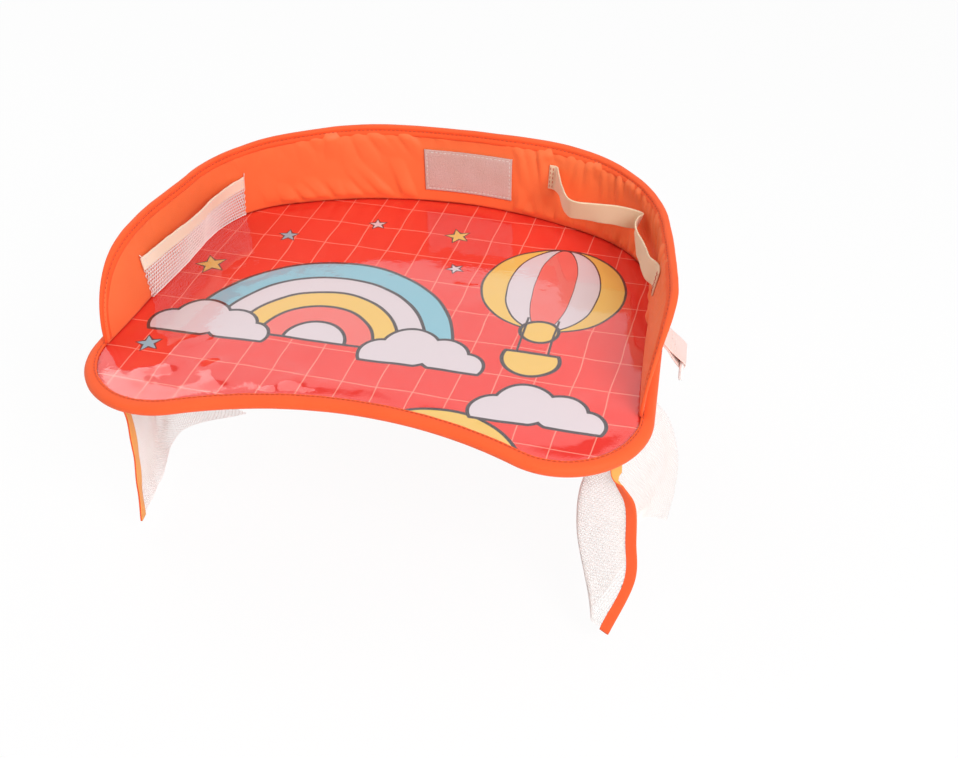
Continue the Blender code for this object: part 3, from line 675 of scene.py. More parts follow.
# %% The print, laid out in metres on the tray
PRINT_RED = (0.83, 0.030, 0.018)
PRINT_DEEP_RED = (0.74, 0.020, 0.014)
PRINT_DRIFT = 0.35
GRID_PINK = (0.92, 0.28, 0.21)
SKY_BLUE = (0.22, 0.50, 0.60)
MUSTARD = (0.80, 0.52, 0.11)
CORAL = (0.82, 0.14, 0.12)
PALE_LILAC = (0.68, 0.61, 0.64)
CHARCOAL = (0.045, 0.032, 0.038)
GRID_ORIGIN = Vector((-0.2038, -0.1652))
GRID_ACROSS = Vector((0.02659, -0.00084))
GRID_UP = Vector((0.00176, 0.03381))
GRID_LINE = 0.0008
GRID_WAVER = 0.0022
OUTLINE = 0.0013
FINE_LINE = 0.0009
RAINBOW_FOOT = Vector((-0.050, -0.062))
RAINBOW_RADII = (0.104, 0.083, 0.063, 0.044, 0.024)
RAINBOW_COLOURS = (SKY_BLUE, PALE_LILAC, MUSTARD, CORAL, PALE_LILAC)
CLOUD_PUFFS = ((-0.030, 0.000, 0.017), (-0.010, 0.011, 0.022), (0.016, 0.007, 0.019), (0.034, -0.002, 0.014))
CLOUD_FOOT = -0.010
HILL = Vector((0.068, -0.180))
HILL_RADIUS = 0.062
BALLOON = Vector((0.112, 0.040))
BALLOON_RADIUS = 0.056
BALLOON_STRIPES = ((1.0, MUSTARD), (1.55, PALE_LILAC), (3.6, CORAL))
BALLOON_RIM = 0.7
NECK_DROP, NECK_RADIUS = 1.02, 0.24
BASKET_DROP, BASKET_RADIUS, BASKET_FILL = 1.62, 0.34, 0.12
BASKET_SQUEEZE = 0.9
STRING_GAP = 0.012
STARS = (
    (-0.165, 0.018, 0.013, MUSTARD), (-0.118, 0.072, 0.009, SKY_BLUE), (-0.168, -0.090, 0.010, SKY_BLUE),
    (0.020, 0.100, 0.011, MUSTARD), (-0.050, 0.105, 0.008, PALE_LILAC), (0.030, 0.052, 0.007, PALE_LILAC),
)
STAR_TURN = 20
STAR_DEPTH = 0.55
CLOUDS = (
    RAINBOW_FOOT + Vector((-RAINBOW_RADII[1], 0)),
    RAINBOW_FOOT + Vector((RAINBOW_RADII[1], -0.004)),
    Vector((0.128, -0.112)),
)


def printed_cloth():
    made, tree, shader = new_material("printed_cloth", specular_ior_level=0.25)
    cloth_map = add_node(tree, "ShaderNodeUVMap", uv_map="cloth").outputs[0]

    # A hand wavers, so the lines and shapes are read at a place that strays a little
    stray = add_node(tree, "ShaderNodeTexNoise", scale=22.0, detail=1.0, vector=cloth_map).outputs["Color"]
    centred = vector_maths(tree, "SUBTRACT", stray, (0.5, 0.5, 0.5))[0]
    small = vector_maths(tree, "MULTIPLY", centred, (GRID_WAVER * 2,) * 3)[0]
    place = vector_maths(tree, "ADD", cloth_map, small)[0]
    x, y, _ = axes(tree, place)

    def ink(below, fill, distance, edge=OUTLINE):
        return place_group(tree, INK, below=below, fill=fill, line=CHARCOAL, distance=distance, edge=edge)[0]

    def disc(centre, radius, squeeze=1.0):
        return place_group(tree, DISC, cloth=place, centre=(*centre, 0), radius=radius, squeeze=squeeze)[0]

    def above(level):
        """Signed distance to all that lies over a level: negative above it."""
        return maths(tree, "SUBTRACT", level, y)

    def beside(value, middle, reach):
        """Signed distance to a strip: negative within reach of its middle."""
        return maths(tree, "SUBTRACT", maths(tree, "ABSOLUTE", maths(tree, "SUBTRACT", value, middle)), reach)

    # The grid: how far the place is, along each of the grid's two steps, from a whole step
    det = GRID_ACROSS.x * GRID_UP.y - GRID_ACROSS.y * GRID_UP.x
    lines = []
    for step, other, sign in ((GRID_ACROSS, GRID_UP, 1), (GRID_UP, GRID_ACROSS, -1)):
        start = -sign * (GRID_ORIGIN.x * other.y - GRID_ORIGIN.y * other.x) / det
        x_share = maths(tree, "MULTIPLY_ADD", x, sign * other.y / det, start)
        steps = maths(tree, "MULTIPLY_ADD", y, -sign * other.x / det, x_share)
        near = maths(tree, "MULTIPLY", maths(tree, "PINGPONG", steps, 0.5), step.length)
        lines.append(maths(tree, "LESS_THAN", near, GRID_LINE / 2))
    drift = place_group(tree, MOTTLE, place=cloth_map, patches_per_metre=14.0)["Patches"]
    ground = mix_colours(tree, maths(tree, "MULTIPLY", drift, PRINT_DRIFT), PRINT_RED, PRINT_DEEP_RED)
    colour = mix_colours(tree, maths(tree, "MAXIMUM", *lines), ground, GRID_PINK)
    colour = ink(colour, MUSTARD, disc(HILL, HILL_RADIUS))

    # Rainbow, cut level with its foot
    for radius, fill in zip(RAINBOW_RADII, RAINBOW_COLOURS):
        colour = ink(colour, fill, maths(tree, "MAXIMUM", disc(RAINBOW_FOOT, radius), above(RAINBOW_FOOT.y)))

    # Balloon: its stripes are narrower ellipses over the round one, then come its neck, lines and basket
    for squeeze, fill in BALLOON_STRIPES:
        colour = ink(colour, fill, disc(BALLOON, BALLOON_RADIUS, squeeze), edge=FINE_LINE)
    rim = maths(tree, "ABSOLUTE", disc(BALLOON, BALLOON_RADIUS))
    colour = ink(colour, CHARCOAL, rim, edge=OUTLINE * BALLOON_RIM)
    neck = BALLOON - Vector((0, BALLOON_RADIUS * NECK_DROP))
    colour = ink(colour, MUSTARD, disc(neck, BALLOON_RADIUS * NECK_RADIUS, BASKET_SQUEEZE))
    basket = BALLOON - Vector((0, BALLOON_RADIUS * BASKET_DROP))
    string = beside(beside(x, BALLOON.x, STRING_GAP), 0.0, FINE_LINE)
    string = maths(tree, "MAXIMUM", string, beside(y, (neck.y + basket.y) / 2, neck.y - basket.y))
    colour = mix_colours(tree, maths(tree, "LESS_THAN", string, 0.0), colour, CHARCOAL)
    under = maths(tree, "SUBTRACT", y, basket.y + BALLOON_RADIUS * BASKET_FILL)
    bowl = maths(tree, "MAXIMUM", disc(basket, BALLOON_RADIUS * BASKET_RADIUS, BASKET_SQUEEZE), under)
    colour = ink(colour, MUSTARD, bowl)

    for spot in CLOUDS:
        joined = disc(spot + Vector(CLOUD_PUFFS[0][:2]), CLOUD_PUFFS[0][2])
        for *puff, radius in CLOUD_PUFFS[1:]:
            joined = maths(tree, "MINIMUM", joined, disc(spot + Vector(puff), radius))
        colour = ink(colour, PALE_LILAC, maths(tree, "MAXIMUM", joined, above(spot.y + CLOUD_FOOT)))

    for across, along, radius, fill in STARS:
        star = place_group(tree, STAR, cloth=place, centre=(across, along, 0), radius=radius,
                           turn=across * STAR_TURN, depth=STAR_DEPTH)
        colour = ink(colour, fill, star["Distance"], edge=FINE_LINE)

    weave = place_group(tree, WEAVE, cloth=cloth_map, threads_per_metre=2200.0)
    give(tree, shader, base_color=colour, normal=bump(tree, weave["Height"], 0.00003, strength=0.6),
         roughness=maths(tree, "MULTIPLY_ADD", weave["Shade"], 0.1, 0.45))
    return made


printed = printed_cloth()
print("print:", len(printed.node_tree.nodes), "nodes")

# %% [markdown]
# ## Layers of the base
#
# The board and the foam lie inside, and only the lining below and the print above show. The film
# over the print is thin clear vinyl. Laid flat it would look like glass, but vinyl that was folded
# in its bag keeps soft waves and some sharp creases, and these break up what it reflects. So its
# height is a sum of triangle waves, which gives flat facets with sharp ridges. They are strong in a
# few slack places and die out near the tape. Light must reach the print through the film, so it is
# left out for shadow and diffuse rays, and the camera still sees its gloss.

# %% Heights of the layers
SEAM_GAP = 0.0003
LINING_TOP = 0.0006
BOARD_TOP = LINING_TOP + SEAM_GAP + 0.0024
FOAM_BOTTOM = BOARD_TOP + SEAM_GAP
FOAM_THICKNESS = 0.002
PRINT_BOTTOM = FOAM_BOTTOM + FOAM_THICKNESS + SEAM_GAP
PRINT_THICKNESS = 0.0006
PRINT_TOP = PRINT_BOTTOM + PRINT_THICKNESS
FILM_BOTTOM = PRINT_TOP + SEAM_GAP
FILM_THICKNESS = 0.0003
FILM_TOP = FILM_BOTTOM + 0.0004
EDGE_TAPE_TOP = 0.0084
EDGE_TAPE_BOTTOM = -0.0012
LAYER_INSET = 0.003


def plan_sheet(name, inset, cell, height, finishes, thickness):
    """A level sheet inside the tray's edge, as square cells, with a height for each place."""
    outline = [inside_edge(mark, inset, 0) for mark in even_steps(-HALF_EDGE, HALF_EDGE, 0.004)[:-1]]
    xs = np.arange(-TRAY_WIDTH / 2, TRAY_WIDTH / 2 + cell, cell)
    ys = np.arange(-TRAY_DEPTH / 2, TRAY_DEPTH / 2 + cell, cell)
    across, along = np.meshgrid(xs, ys)
    inside = np.zeros(across.shape, bool)
    for first, second in zip(outline, outline[1:] + outline[:1]):
        if first.y == second.y:
            continue
        between = (first.y > along) != (second.y > along)
        crossing = first.x + (along - first.y) * (second.x - first.x) / (second.y - first.y)
        inside ^= between & (across < crossing)
    number = np.full(across.shape, -1)
    number[inside] = np.arange(inside.sum())
    places = [(float(x), float(y)) for x, y in zip(across[inside], along[inside])]
    square = number[:-1, :-1], number[:-1, 1:], number[1:, 1:], number[1:, :-1]
    corners = np.stack(square, -1).reshape(-1, 4)
    faces = corners[(corners >= 0).all(1)].tolist()
    mesh = bpy.data.meshes.new(name)
    mesh.from_pydata([(x, y, height(x, y)) for x, y in places], [], faces)
    mesh.validate()
    lay_map(mesh, [places[corner] for face in faces for corner in face])
    made = finish_piece(mesh, finishes)
    thicken(made, thickness, offset=1)
    return made


# %% Lining, foam and print
BASE_CELL = 0.006
LINING_WAVE = 0.0001
FOAM_WHITE = (0.75, 0.75, 0.73)

foam = cloth("white_foam", FOAM_WHITE, 900, drift=0.05, bump_mm=0.1, roughness=0.95, fuzz=1.5)

bottom = plan_sheet("lining_cloth", LAYER_INSET, BASE_CELL,
                    lambda x, y: LINING_WAVE * ripple(x * 40, y * 40, 1), [lining], LINING_TOP)
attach(bottom, "tray")
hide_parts("bottom_lining")

base_pad = plan_sheet("base_padding", LAYER_INSET, BASE_CELL, lambda x, y: FOAM_BOTTOM, [foam],
                      FOAM_THICKNESS)
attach(base_pad, "tray")
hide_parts("base_foam")

print_sheet = plan_sheet("printed_sheet", LAYER_INSET, BASE_CELL, lambda x, y: PRINT_BOTTOM, [printed],
                         PRINT_THICKNESS)
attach(print_sheet, "tray")
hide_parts("print_panel")
print("print", round(cut_area(print_sheet), 4), "m2")

# %% Clear film with creases
FILM_CELL = 0.002
FILM_INSET = 0.004
CREASES = ((0.35, 0.031, 0.9), (1.9, 0.023, 0.7), (2.75, 0.041, 1.0), (1.15, 0.013, 0.35))
CREASE_HEIGHT = 0.0011
SLACK_HEIGHT = 0.0006
SLACK_EVERYWHERE = 0.14
SLACK_REACH = (0.35, 1.1)
SLACK_PLACES = (
    (-0.155, -0.100, 0.055, 0.045, 1.0), (-0.060, -0.115, 0.110, 0.028, 0.9),
    (0.165, -0.120, 0.040, 0.045, 0.8), (-0.135, 0.020, 0.050, 0.045, 0.55),
    (0.030, 0.015, 0.120, 0.025, 0.40),
)
CALM_SHARE = 0.35
FLAT_NEAR_TAPE = (0.010, 0.026)
FILM_SETTLES = 0.0001
FILM_TINT = (1, 0.97, 0.97)
OUTLINE_MARKS = np.array([edge_frame(mark)[0][:] for mark in even_steps(-HALF_EDGE, HALF_EDGE, 0.004)])


def triangle_wave(value):
    return abs(value - floor(value + 0.5)) * 2


def film_height(x, y):
    """Height of the film's underside: low everywhere, creased where the vinyl is slack."""
    crease = 0
    for angle, length, share in CREASES:
        way = (x * cos(angle) + y * sin(angle)) / length + 0.5 * ripple(x * 14, y * 14, 3 + angle)
        crease += share * triangle_wave(way) * length / CREASES[0][1]
    slack = SLACK_EVERYWHERE
    for middle_x, middle_y, wide, deep, share in SLACK_PLACES:
        far = hypot((x - middle_x) / wide, (y - middle_y) / deep)
        slack = max(slack, share * (1 - smooth_step(far, *SLACK_REACH)))
    lively = CALM_SHARE + (1 - CALM_SHARE) * smooth_step(ripple(x * 30, y * 30, 9), -0.15, 0.25)
    depth = float(np.hypot(OUTLINE_MARKS[:, 0] - x, OUTLINE_MARKS[:, 1] - y).min())
    soft = SLACK_HEIGHT * (1 + ripple(x * 11, y * 11, 5))
    lift = smooth_step(depth, *FLAT_NEAR_TAPE) * (CREASE_HEIGHT * slack * crease * lively + soft)
    return FILM_BOTTOM - FILM_SETTLES + lift


def clear_film():
    made, tree, shader = new_material("clear_film", base_color=FILM_TINT, ior=1.5, transmission_weight=1)
    spot = tree.nodes.new("ShaderNodeNewGeometry").outputs["Position"]
    haze = place_group(tree, MOTTLE, place=spot, patches_per_metre=24.0, flecks_per_metre=260.0)
    give(tree, shader, roughness=maths(tree, "MULTIPLY_ADD", haze["Patches"], 0.015, 0.008),
         normal=bump(tree, haze["Flecks"], 0.0002, strength=0.12))
    return made


film = plan_sheet("clear_film", FILM_INSET, FILM_CELL, film_height, [clear_film()], FILM_THICKNESS)
film.visible_shadow = False
film.visible_diffuse = False
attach(film, "tray")
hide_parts("clear_cover_film")
print("film cells", len(film.data.polygons))

# %% The board inside keeps its solid, with a plastic finish
def moulded_plastic(name, colour, roughness):
    """Smooth plastic with faint mould grain."""
    made, tree, shader = new_material(name)
    spot = tree.nodes.new("ShaderNodeNewGeometry").outputs["Position"]
    grain = place_group(tree, MOTTLE, place=spot, patches_per_metre=60.0, flecks_per_metre=1600.0)
    dull = tuple(channel * 0.93 for channel in colour)
    give(tree, shader, base_color=mix_colours(tree, grain["Patches"], colour, dull),
         roughness=maths(tree, "MULTIPLY_ADD", grain["Flecks"], 0.15, roughness),
         normal=bump(tree, grain["Flecks"], 0.00003, strength=0.3))
    return made


board_plastic = moulded_plastic("board_plastic", SOFT_WHITE, 0.45)
ring_plastic = moulded_plastic("ring_plastic", SOFT_WHITE, 0.25)
repainted = {"base_board": board_plastic, "right_tab_ring": ring_plastic, "left_tab_ring": ring_plastic}
for node, finish in repainted.items():
    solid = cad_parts[node].data
    solid.materials.clear()
    solid.materials.append(finish)
print("repainted the board and both rings")

# %% [markdown]
# ## Threads
#
# A seam shows as a row of short threads that dip into the cloth. A dashed line in the material
# would do from afar, but it is flat. Each stitch here is a small capsule along the seam, and one
# seam is one mesh, so hundreds of stitches stay light.

# %% Helper for a row of stitches
THREAD_RADIUS = 0.00030
STITCH_LENGTH = 0.0026
STITCH_GAP = 0.0010
THREAD_SIDES = 5
STITCH_SHARES = ((0.0, 0.35), (0.18, 0.9), (0.5, 1.0), (0.82, 0.9), (1.0, 0.35))
STITCH_ARCH, STITCH_SUNK = 1.1, 0.5
THREAD_MAP = (0.0004, 0.0003)


def stitch_row(name, seams, finish, body="tray", length=STITCH_LENGTH, gap=STITCH_GAP, radius=THREAD_RADIUS):
    """One mesh of stitches along seams. Each seam is a path with one normal, or one for each point."""
    points = []
    faces = []
    for path, out in seams:
        if isinstance(out, Vector):
            out = [out] * len(path)
        starts = running_length(path)
        count = max(int(starts[-1] / (length + gap)), 1)
        pitch = starts[-1] / count
        part = 0
        for index in range(count):
            middle = (index + 0.5) * pitch
            while part < len(path) - 2 and starts[part + 1] < middle:
                part += 1
            share = (middle - starts[part]) / max(starts[part + 1] - starts[part], 1e-9)
            centre = path[part].lerp(path[part + 1], share)
            heading = (path[part + 1] - path[part]).normalized()
            rise = out[part].lerp(out[part + 1], share).normalized()
            side = heading.cross(rise).normalized()
            base = len(points)
            for place, thick in STITCH_SHARES:
                lift = rise * radius * (STITCH_ARCH * sin(pi * place) - STITCH_SUNK)
                ring = centre + heading * (place - 0.5) * length + lift
                for turn in range(THREAD_SIDES):
                    angle = 2 * pi * turn / THREAD_SIDES
                    points.append(ring + (side * cos(angle) + rise * sin(angle)) * radius * thick)
            for low in range(base, len(points) - THREAD_SIDES, THREAD_SIDES):
                high = low + THREAD_SIDES
                for turn in range(THREAD_SIDES):
                    after = (turn + 1) % THREAD_SIDES
                    faces.append((low + turn, low + after, high + after, high + turn))
            faces.append(tuple(range(base, base + THREAD_SIDES))[::-1])
            faces.append(tuple(range(len(points) - THREAD_SIDES, len(points))))
    mesh = bpy.data.meshes.new(name)
    mesh.from_pydata(points, [], faces)
    along, across = THREAD_MAP
    lay_map(mesh, [(corner * along, place * across) for face in faces for place, corner in enumerate(face)])
    made = finish_piece(mesh, [finish])
    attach(made, body)
    return made


# %% [markdown]
# ## Tape round the base
#
# Bias tape is folded round the raw edges of the base and sewn through with one line of stitches. A
# swept profile would be too even, so the profile is worked out at each step along the edge, where
# its hem wanders a little and the tape puckers a little in soft waves.

# %% Edge tape and its seam
TAPE_WIDTH = 0.0102
TAPE_THICKNESS = 0.0008
TAPE_STEP = 0.0018
TAPE_SEAM_INSET = 0.0083
TAPE_WANDER = 0.0004
TAPE_PUCKER = 0.00022
TAPE_SEAM_SUNK = 0.0001
EDGE_SECTION = (
    (TAPE_WIDTH, -0.0011), (0.0099, -0.0004), (0.0091, -0.0001), (0.0083, -0.0006), (0.0075, -0.0001),
    (0.0056, -0.0001), (0.0040, -0.0004), (0.0026, -0.0010), (0.0013, -0.0022), (0.0005, -0.0037),
)


def edge_tape_row(distance):
    """One cross-section of the tape, from its upper hem round the edge to its lower hem."""
    pucker = TAPE_PUCKER * ripple(distance * 150, 0, 2)
    wander = TAPE_WANDER * ripple(distance * 60, 0, 4)
    row = []
    for inset, drop in EDGE_SECTION:
        share = inset / TAPE_WIDTH
        row.append(inside_edge(distance, inset + wander * share, EDGE_TAPE_TOP + drop + pucker * share))
    for inset, drop in reversed(EDGE_SECTION):
        share = inset / TAPE_WIDTH
        row.append(inside_edge(distance, inset - wander * share, EDGE_TAPE_BOTTOM - drop - pucker * share))
    return row


marks = even_steps(-HALF_EDGE, HALF_EDGE, TAPE_STEP)[:-1]
rows = [edge_tape_row(mark) for mark in marks]
edge_tape = grid("edge_tape", rows, [tape], TAPE_THICKNESS, closed=True, offset=-1)
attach(edge_tape, "tray")
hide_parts("edge_binding")

closed_marks = marks + marks[:1]
seams = []
for level, turn in ((EDGE_TAPE_TOP - TAPE_SEAM_SUNK, 1), (EDGE_TAPE_BOTTOM + TAPE_SEAM_SUNK, -1)):
    seams.append(([inside_edge(mark, TAPE_SEAM_INSET, level) for mark in closed_marks], Vector((0, 0, turn))))
stitch_row("edge_tape_stitches", seams, orange_thread)
print("edge tape rows", len(rows))

# %% [markdown]
# ## The padded wall
#
# The wall is foam between two nylon cloths. It isn't stiff, so it doesn't stand upright all the way
# round: it leans in at the left back corner and out at the right one. The lean is a short table
# along the edge, and everything sewn to the wall is placed through it. Nylon is gathered where it
# is sewn to a curve, so it puckers at both seams, most of all round the right back corner. A cloth
# simulation could make these folds. Here each pleat is a round fold of its own, with its place and
# slant from a table of zones. Where two meet the higher one counts, which leaves a sharp crease
# between them. Patches and seams hold the cloth flat.

# %% Where the wall stands
WALL_INSET = 0.0065
WALL_HEIGHT = 0.0665
WALL_FOAM_THICKNESS = 0.005
NYLON_THICKNESS = 0.0005
WALL_THICKNESS = 0.007
WALL_MIDDLE = WALL_INSET + WALL_THICKNESS / 2
WALL_FACE = WALL_INSET + WALL_THICKNESS
WALL_FOOT = EDGE_TAPE_TOP + SEAM_GAP
WALL_TOP = FILM_TOP + WALL_HEIGHT
WALL_END_LENGTH = 0.062
WALL_END_CUT = radians(8)
WALL_END_SHARE = 0.45
WALL_END_TAPER = 0.045
WALL_STEP = 0.0016
WALL_END_STEP = radians(2.2)
WALL_ROWS = 38
TOP_PINCH = 0.0023
TOP_PINCH_REACH = 0.010
FOOT_PINCH = 0.0008
FOOT_PINCH_REACH = 0.006
LEAN_PLACES = (
    (-0.400, -0.005), (-0.372, -0.002), (-0.345, 0.001), (-0.320, 0.001), (-0.260, 0.009), (-0.195, 0.0120),
    (-0.135, 0.005), (-0.080, -0.002), (0.000, -0.001), (0.050, -0.003), (0.100, -0.008), (0.135, -0.007),
    (0.170, -0.002), (0.205, 0.000), (0.245, -0.002), (0.285, -0.008), (0.340, -0.014), (0.400, -0.015),
)
OUTWARD_BEND = 1.7
LEAN_MARKS = np.array([place[0] for place in LEAN_PLACES])
LEAN_SLOPES = np.gradient(np.array([place[1] for place in LEAN_PLACES]), LEAN_MARKS)


def lean(distance, height):
    """How far the wall stands in from upright, at a distance along the edge and a height."""
    rise = max((height - WALL_FOOT) / (WALL_TOP - WALL_FOOT), 0)
    index = int(np.searchsorted(LEAN_MARKS, distance, side="right")) - 1
    index = min(max(index, 0), len(LEAN_PLACES) - 2)
    (low, first), (high, second) = LEAN_PLACES[index:index + 2]
    share = min(max((distance - low) / (high - low), 0), 1)
    leave, arrive = LEAN_SLOPES[index:index + 2] * (high - low)
    at_top = bend(first, second, leave, arrive, share)
    return at_top * (rise if at_top > 0 else rise ** OUTWARD_BEND)


def end_share(distance):
    """Share of the wall's thickness at a distance along the edge, which falls towards both ends."""
    return WALL_END_SHARE + (1 - WALL_END_SHARE) * smooth_step(WALL_END - abs(distance), 0, WALL_END_TAPER)


def wall_point(distance, inset, height):
    """A point of the wall, as it leans and thins."""
    place = WALL_MIDDLE + (inset - WALL_MIDDLE) * end_share(distance)
    return inside_edge(distance, place + lean(distance, height), height)


def half_thickness(height, foot, top):
    """Half the wall's thickness, which both seams pinch."""
    top_pinch = TOP_PINCH * exp((height - top) / TOP_PINCH_REACH)
    foot_pinch = FOOT_PINCH * exp((foot - height) / FOOT_PINCH_REACH)
    return WALL_THICKNESS / 2 - (top_pinch + foot_pinch)


def outwards(distance):
    normal = edge_frame(distance)[1]
    return Vector((normal.x, normal.y, 0))


def wall_columns(first_angle):
    """Distance, top height and outward heading for each column of the wall, from its left end to its
    right end. The ends follow a quarter of an ellipse."""
    rise = WALL_TOP - WALL_FOOT
    straight = WALL_END - WALL_END_LENGTH
    end = []
    for angle in even_steps(first_angle, pi / 2, WALL_END_STEP):
        heading = Vector((rise * cos(angle), WALL_END_LENGTH * sin(angle))).normalized()
        end.append((WALL_END - WALL_END_LENGTH * (1 - cos(angle)), WALL_FOOT + rise * sin(angle), heading))
    middle = [(mark, WALL_TOP, Vector((0, 1))) for mark in even_steps(-straight, straight, WALL_STEP)[1:-1]]
    return [(-mark, top, heading) for mark, top, heading in end] + middle + end[::-1]


# %% Places where the nylon is held flat
PATCH_LOW, PATCH_HIGH = -0.021, 0.059
PATCH_FOOT = FILM_TOP + 0.012
PATCH_HEIGHT = 0.038
PATCH_TOP = PATCH_FOOT + PATCH_HEIGHT
LOOP_SEAMS = (0.0930, 0.2990)
LOOP_SEWN = 0.0065
LOOP_FOOT = FILM_TOP + 0.0312
LOOP_BAND_WIDTH = 0.020
LOOP_TOP = LOOP_FOOT + LOOP_BAND_WIDTH
TAB_MIDDLE = WALL_END - 0.0847
FLAP_WIDTH = 0.031
FLAP_FOOT = 0.0242
FLAP_HEIGHT = 0.016
HELD_SHARE = 0.1
HELD_REACH = (0.0005, 0.008)
HELD_INSIDE = (
    (PATCH_LOW, PATCH_HIGH, PATCH_FOOT, PATCH_TOP),
    (LOOP_SEAMS[0], LOOP_SEAMS[0] + LOOP_SEWN, LOOP_FOOT, LOOP_TOP),
    (LOOP_SEAMS[1] - LOOP_SEWN, LOOP_SEAMS[1], LOOP_FOOT, LOOP_TOP),
)
HELD_OUTSIDE = tuple(
    (middle - FLAP_WIDTH / 2, middle + FLAP_WIDTH / 2, FLAP_FOOT, FLAP_FOOT + FLAP_HEIGHT)
    for middle in (TAB_MIDDLE, -TAB_MIDDLE)
)


def held_flat(distance, height, places):
    """1 where the nylon is free, and nearly 0 where something sewn on it holds it flat."""
    free = 1
    for low, high, foot, top in places:
        beside = max(low - distance, distance - high, 0)
        over = max(foot - height, height - top, 0)
        free = min(free, smooth_step(hypot(beside, over), *HELD_REACH))
    return HELD_SHARE + (1 - HELD_SHARE) * free


# %% Pleats of the nylon
PLEAT_ZONES = (
    (-0.385, -0.200, 0.030, 0.030, 0.0008, 0.1, 1), (-0.200, -0.130, 0.016, 0.036, 0.0016, 0.5, 1),
    (-0.130, -0.025, 0.014, 0.036, 0.0040, 0.4, 1), (-0.160, -0.025, 0.015, 0.032, 0.0036, -0.5, 0),
    (-0.020, 0.060, 0.012, 0.014, 0.0016, 0.0, 1), (0.062, 0.090, 0.0090, 0.046, 0.0040, 0.1, 1),
    (0.090, 0.300, 0.0090, 0.028, 0.0040, 0.1, 1), (0.066, 0.300, 0.0110, 0.022, 0.0036, 0.1, 0),
    (0.300, 0.385, 0.013, 0.026, 0.0016, 0.1, 1),
)
PLEAT_STARTS = 0.0030
BILLOW = 0.0006


def pleat_lines(seed):
    """Pleats, each with its middle, half width, length, height, slant and side. The side is 1 for a
    pleat from the top and 0 for one from the foot."""
    chance = np.random.default_rng(seed)
    lines = []
    for low, high, pitch, length, lift, slant, from_top in PLEAT_ZONES:
        middle = low
        while middle < high:
            tall = length * chance.uniform(0.5, 1.35)
            tilt = slant + chance.uniform(-0.45, 0.45) * (1 if low < 0 else 0.5)
            half_width = pitch * chance.uniform(0.45, 0.62)
            lines.append((middle, half_width, tall, lift * chance.uniform(0.45, 1.1), tilt, from_top))
            middle += pitch * chance.uniform(0.7, 1.35)
    return np.array(lines).T


def pleats(distance, heights, foot, top, lines):
    """How far the nylon stands off the padding, at some heights of one column. Between two round
    folds there is a sharp crease."""
    middle, half_width, length, lift, slant, from_top = lines
    beyond = np.where(from_top > 0, top - heights[:, None], heights[:, None] - foot) - PLEAT_STARTS
    aside = (distance - middle - slant * beyond) / half_width
    share = np.clip(beyond / length, 0, 1)
    fade = np.sqrt(np.clip(share / 0.2, 0, 1)) * (1 - share) ** 1.2
    return (lift * np.sqrt(np.clip(1 - aside ** 2, 0, 1)) * fade).max(1)


def wall_cloth(name, inwards, foot, seed, held):
    """One nylon cloth of the wall. Inwards is 1 for the side that faces the tray's middle, -1 outside."""
    lines = pleat_lines(seed)
    rows = []
    for distance, top, _ in wall_columns(WALL_END_CUT):
        heights = np.linspace(foot, top, WALL_ROWS + 1)
        row = []
        for height, lift in zip(heights.tolist(), pleats(distance, heights, foot, top, lines).tolist()):
            billow = BILLOW * ripple(distance * 24, height * 18, seed)
            free = (lift + billow) * held_flat(distance, height, held)
            stand = half_thickness(height, foot, top) - NYLON_THICKNESS / 2 + free
            row.append(wall_point(distance, WALL_MIDDLE + inwards * stand, height))
        rows.append(row)
    return grid(name, rows, [nylon], NYLON_THICKNESS)


WALL_CLOTHS = (
    ("wall_inner_cloth", "wall_inner_fabric", 1, FILM_TOP + SEAM_GAP, 11, HELD_INSIDE),
    ("wall_outer_cloth", "wall_outer_fabric", -1, WALL_FOOT, 31, HELD_OUTSIDE),
)

for name, node, inwards, foot, seed, held in WALL_CLOTHS:
    made = wall_cloth(name, inwards, foot, seed, held)
    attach(made, "tray")
    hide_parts(node)
    print(name, round(cut_area(made), 4), "m2")

# %% Padding in the wall, thinner where the seams pinch it
PADDING_STEPS = 10
PADDING_LOW, PADDING_HIGH = 0.03, 0.95
PADDING_THINNEST = 0.05

rows = []
shares = []
for distance, top, _ in wall_columns(WALL_END_CUT):
    row = []
    for share in even_steps(PADDING_LOW, PADDING_HIGH, (PADDING_HIGH - PADDING_LOW) / PADDING_STEPS):
        height = WALL_FOOT + (top - WALL_FOOT) * share
        row.append(wall_point(distance, WALL_MIDDLE, height))
        room = half_thickness(height, WALL_FOOT, top) - NYLON_THICKNESS * 2
        shares.append(min(2 * room * end_share(distance) / WALL_FOAM_THICKNESS, 1))
    rows.append(row)
padding = grid("wall_padding", rows, [foam], WALL_FOAM_THICKNESS)
fullness = padding.vertex_groups.new(name="fullness")
for index, share in enumerate(shares):
    fullness.add([index], max(share, PADDING_THINNEST), "REPLACE")
padding.modifiers["Thickness"].vertex_group = fullness.name
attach(padding, "tray")
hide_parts("wall_foam")
print("padding places", len(shares))

# %% [markdown]
# ## Tape over the wall's top
#
# The same tape is folded over the wall's top edge and down both ends. Sewn through the padding, it
# makes a round roll above its seam and a second, smaller ridge below it, with a thin shadow
# between. That groove is in the profile here, because a dark line in the material wouldn't follow
# the light. The thread in the seam also has painted shade: it is coloured darker than the tape.

# %% Top tape and its seams
TOP_SECTION = (
    (0.0028, -0.0070), (0.0033, -0.0065), (0.0035, -0.0054), (0.0032, -0.0040), (0.0024, -0.0027),
    (0.0021, -0.0023), (0.0024, -0.0018), (0.0027, -0.0006), (0.0025, 0.0004), (0.0018, 0.0011),
    (0.0007, 0.0014),
)
TOP_PUCKER = 0.07
TOP_SWAY = 0.0003
TOP_TAPE_THICKNESS = 0.0006
TOP_SEAM_DROP = -0.0023
TOP_SEAM_ACROSS = 0.0022


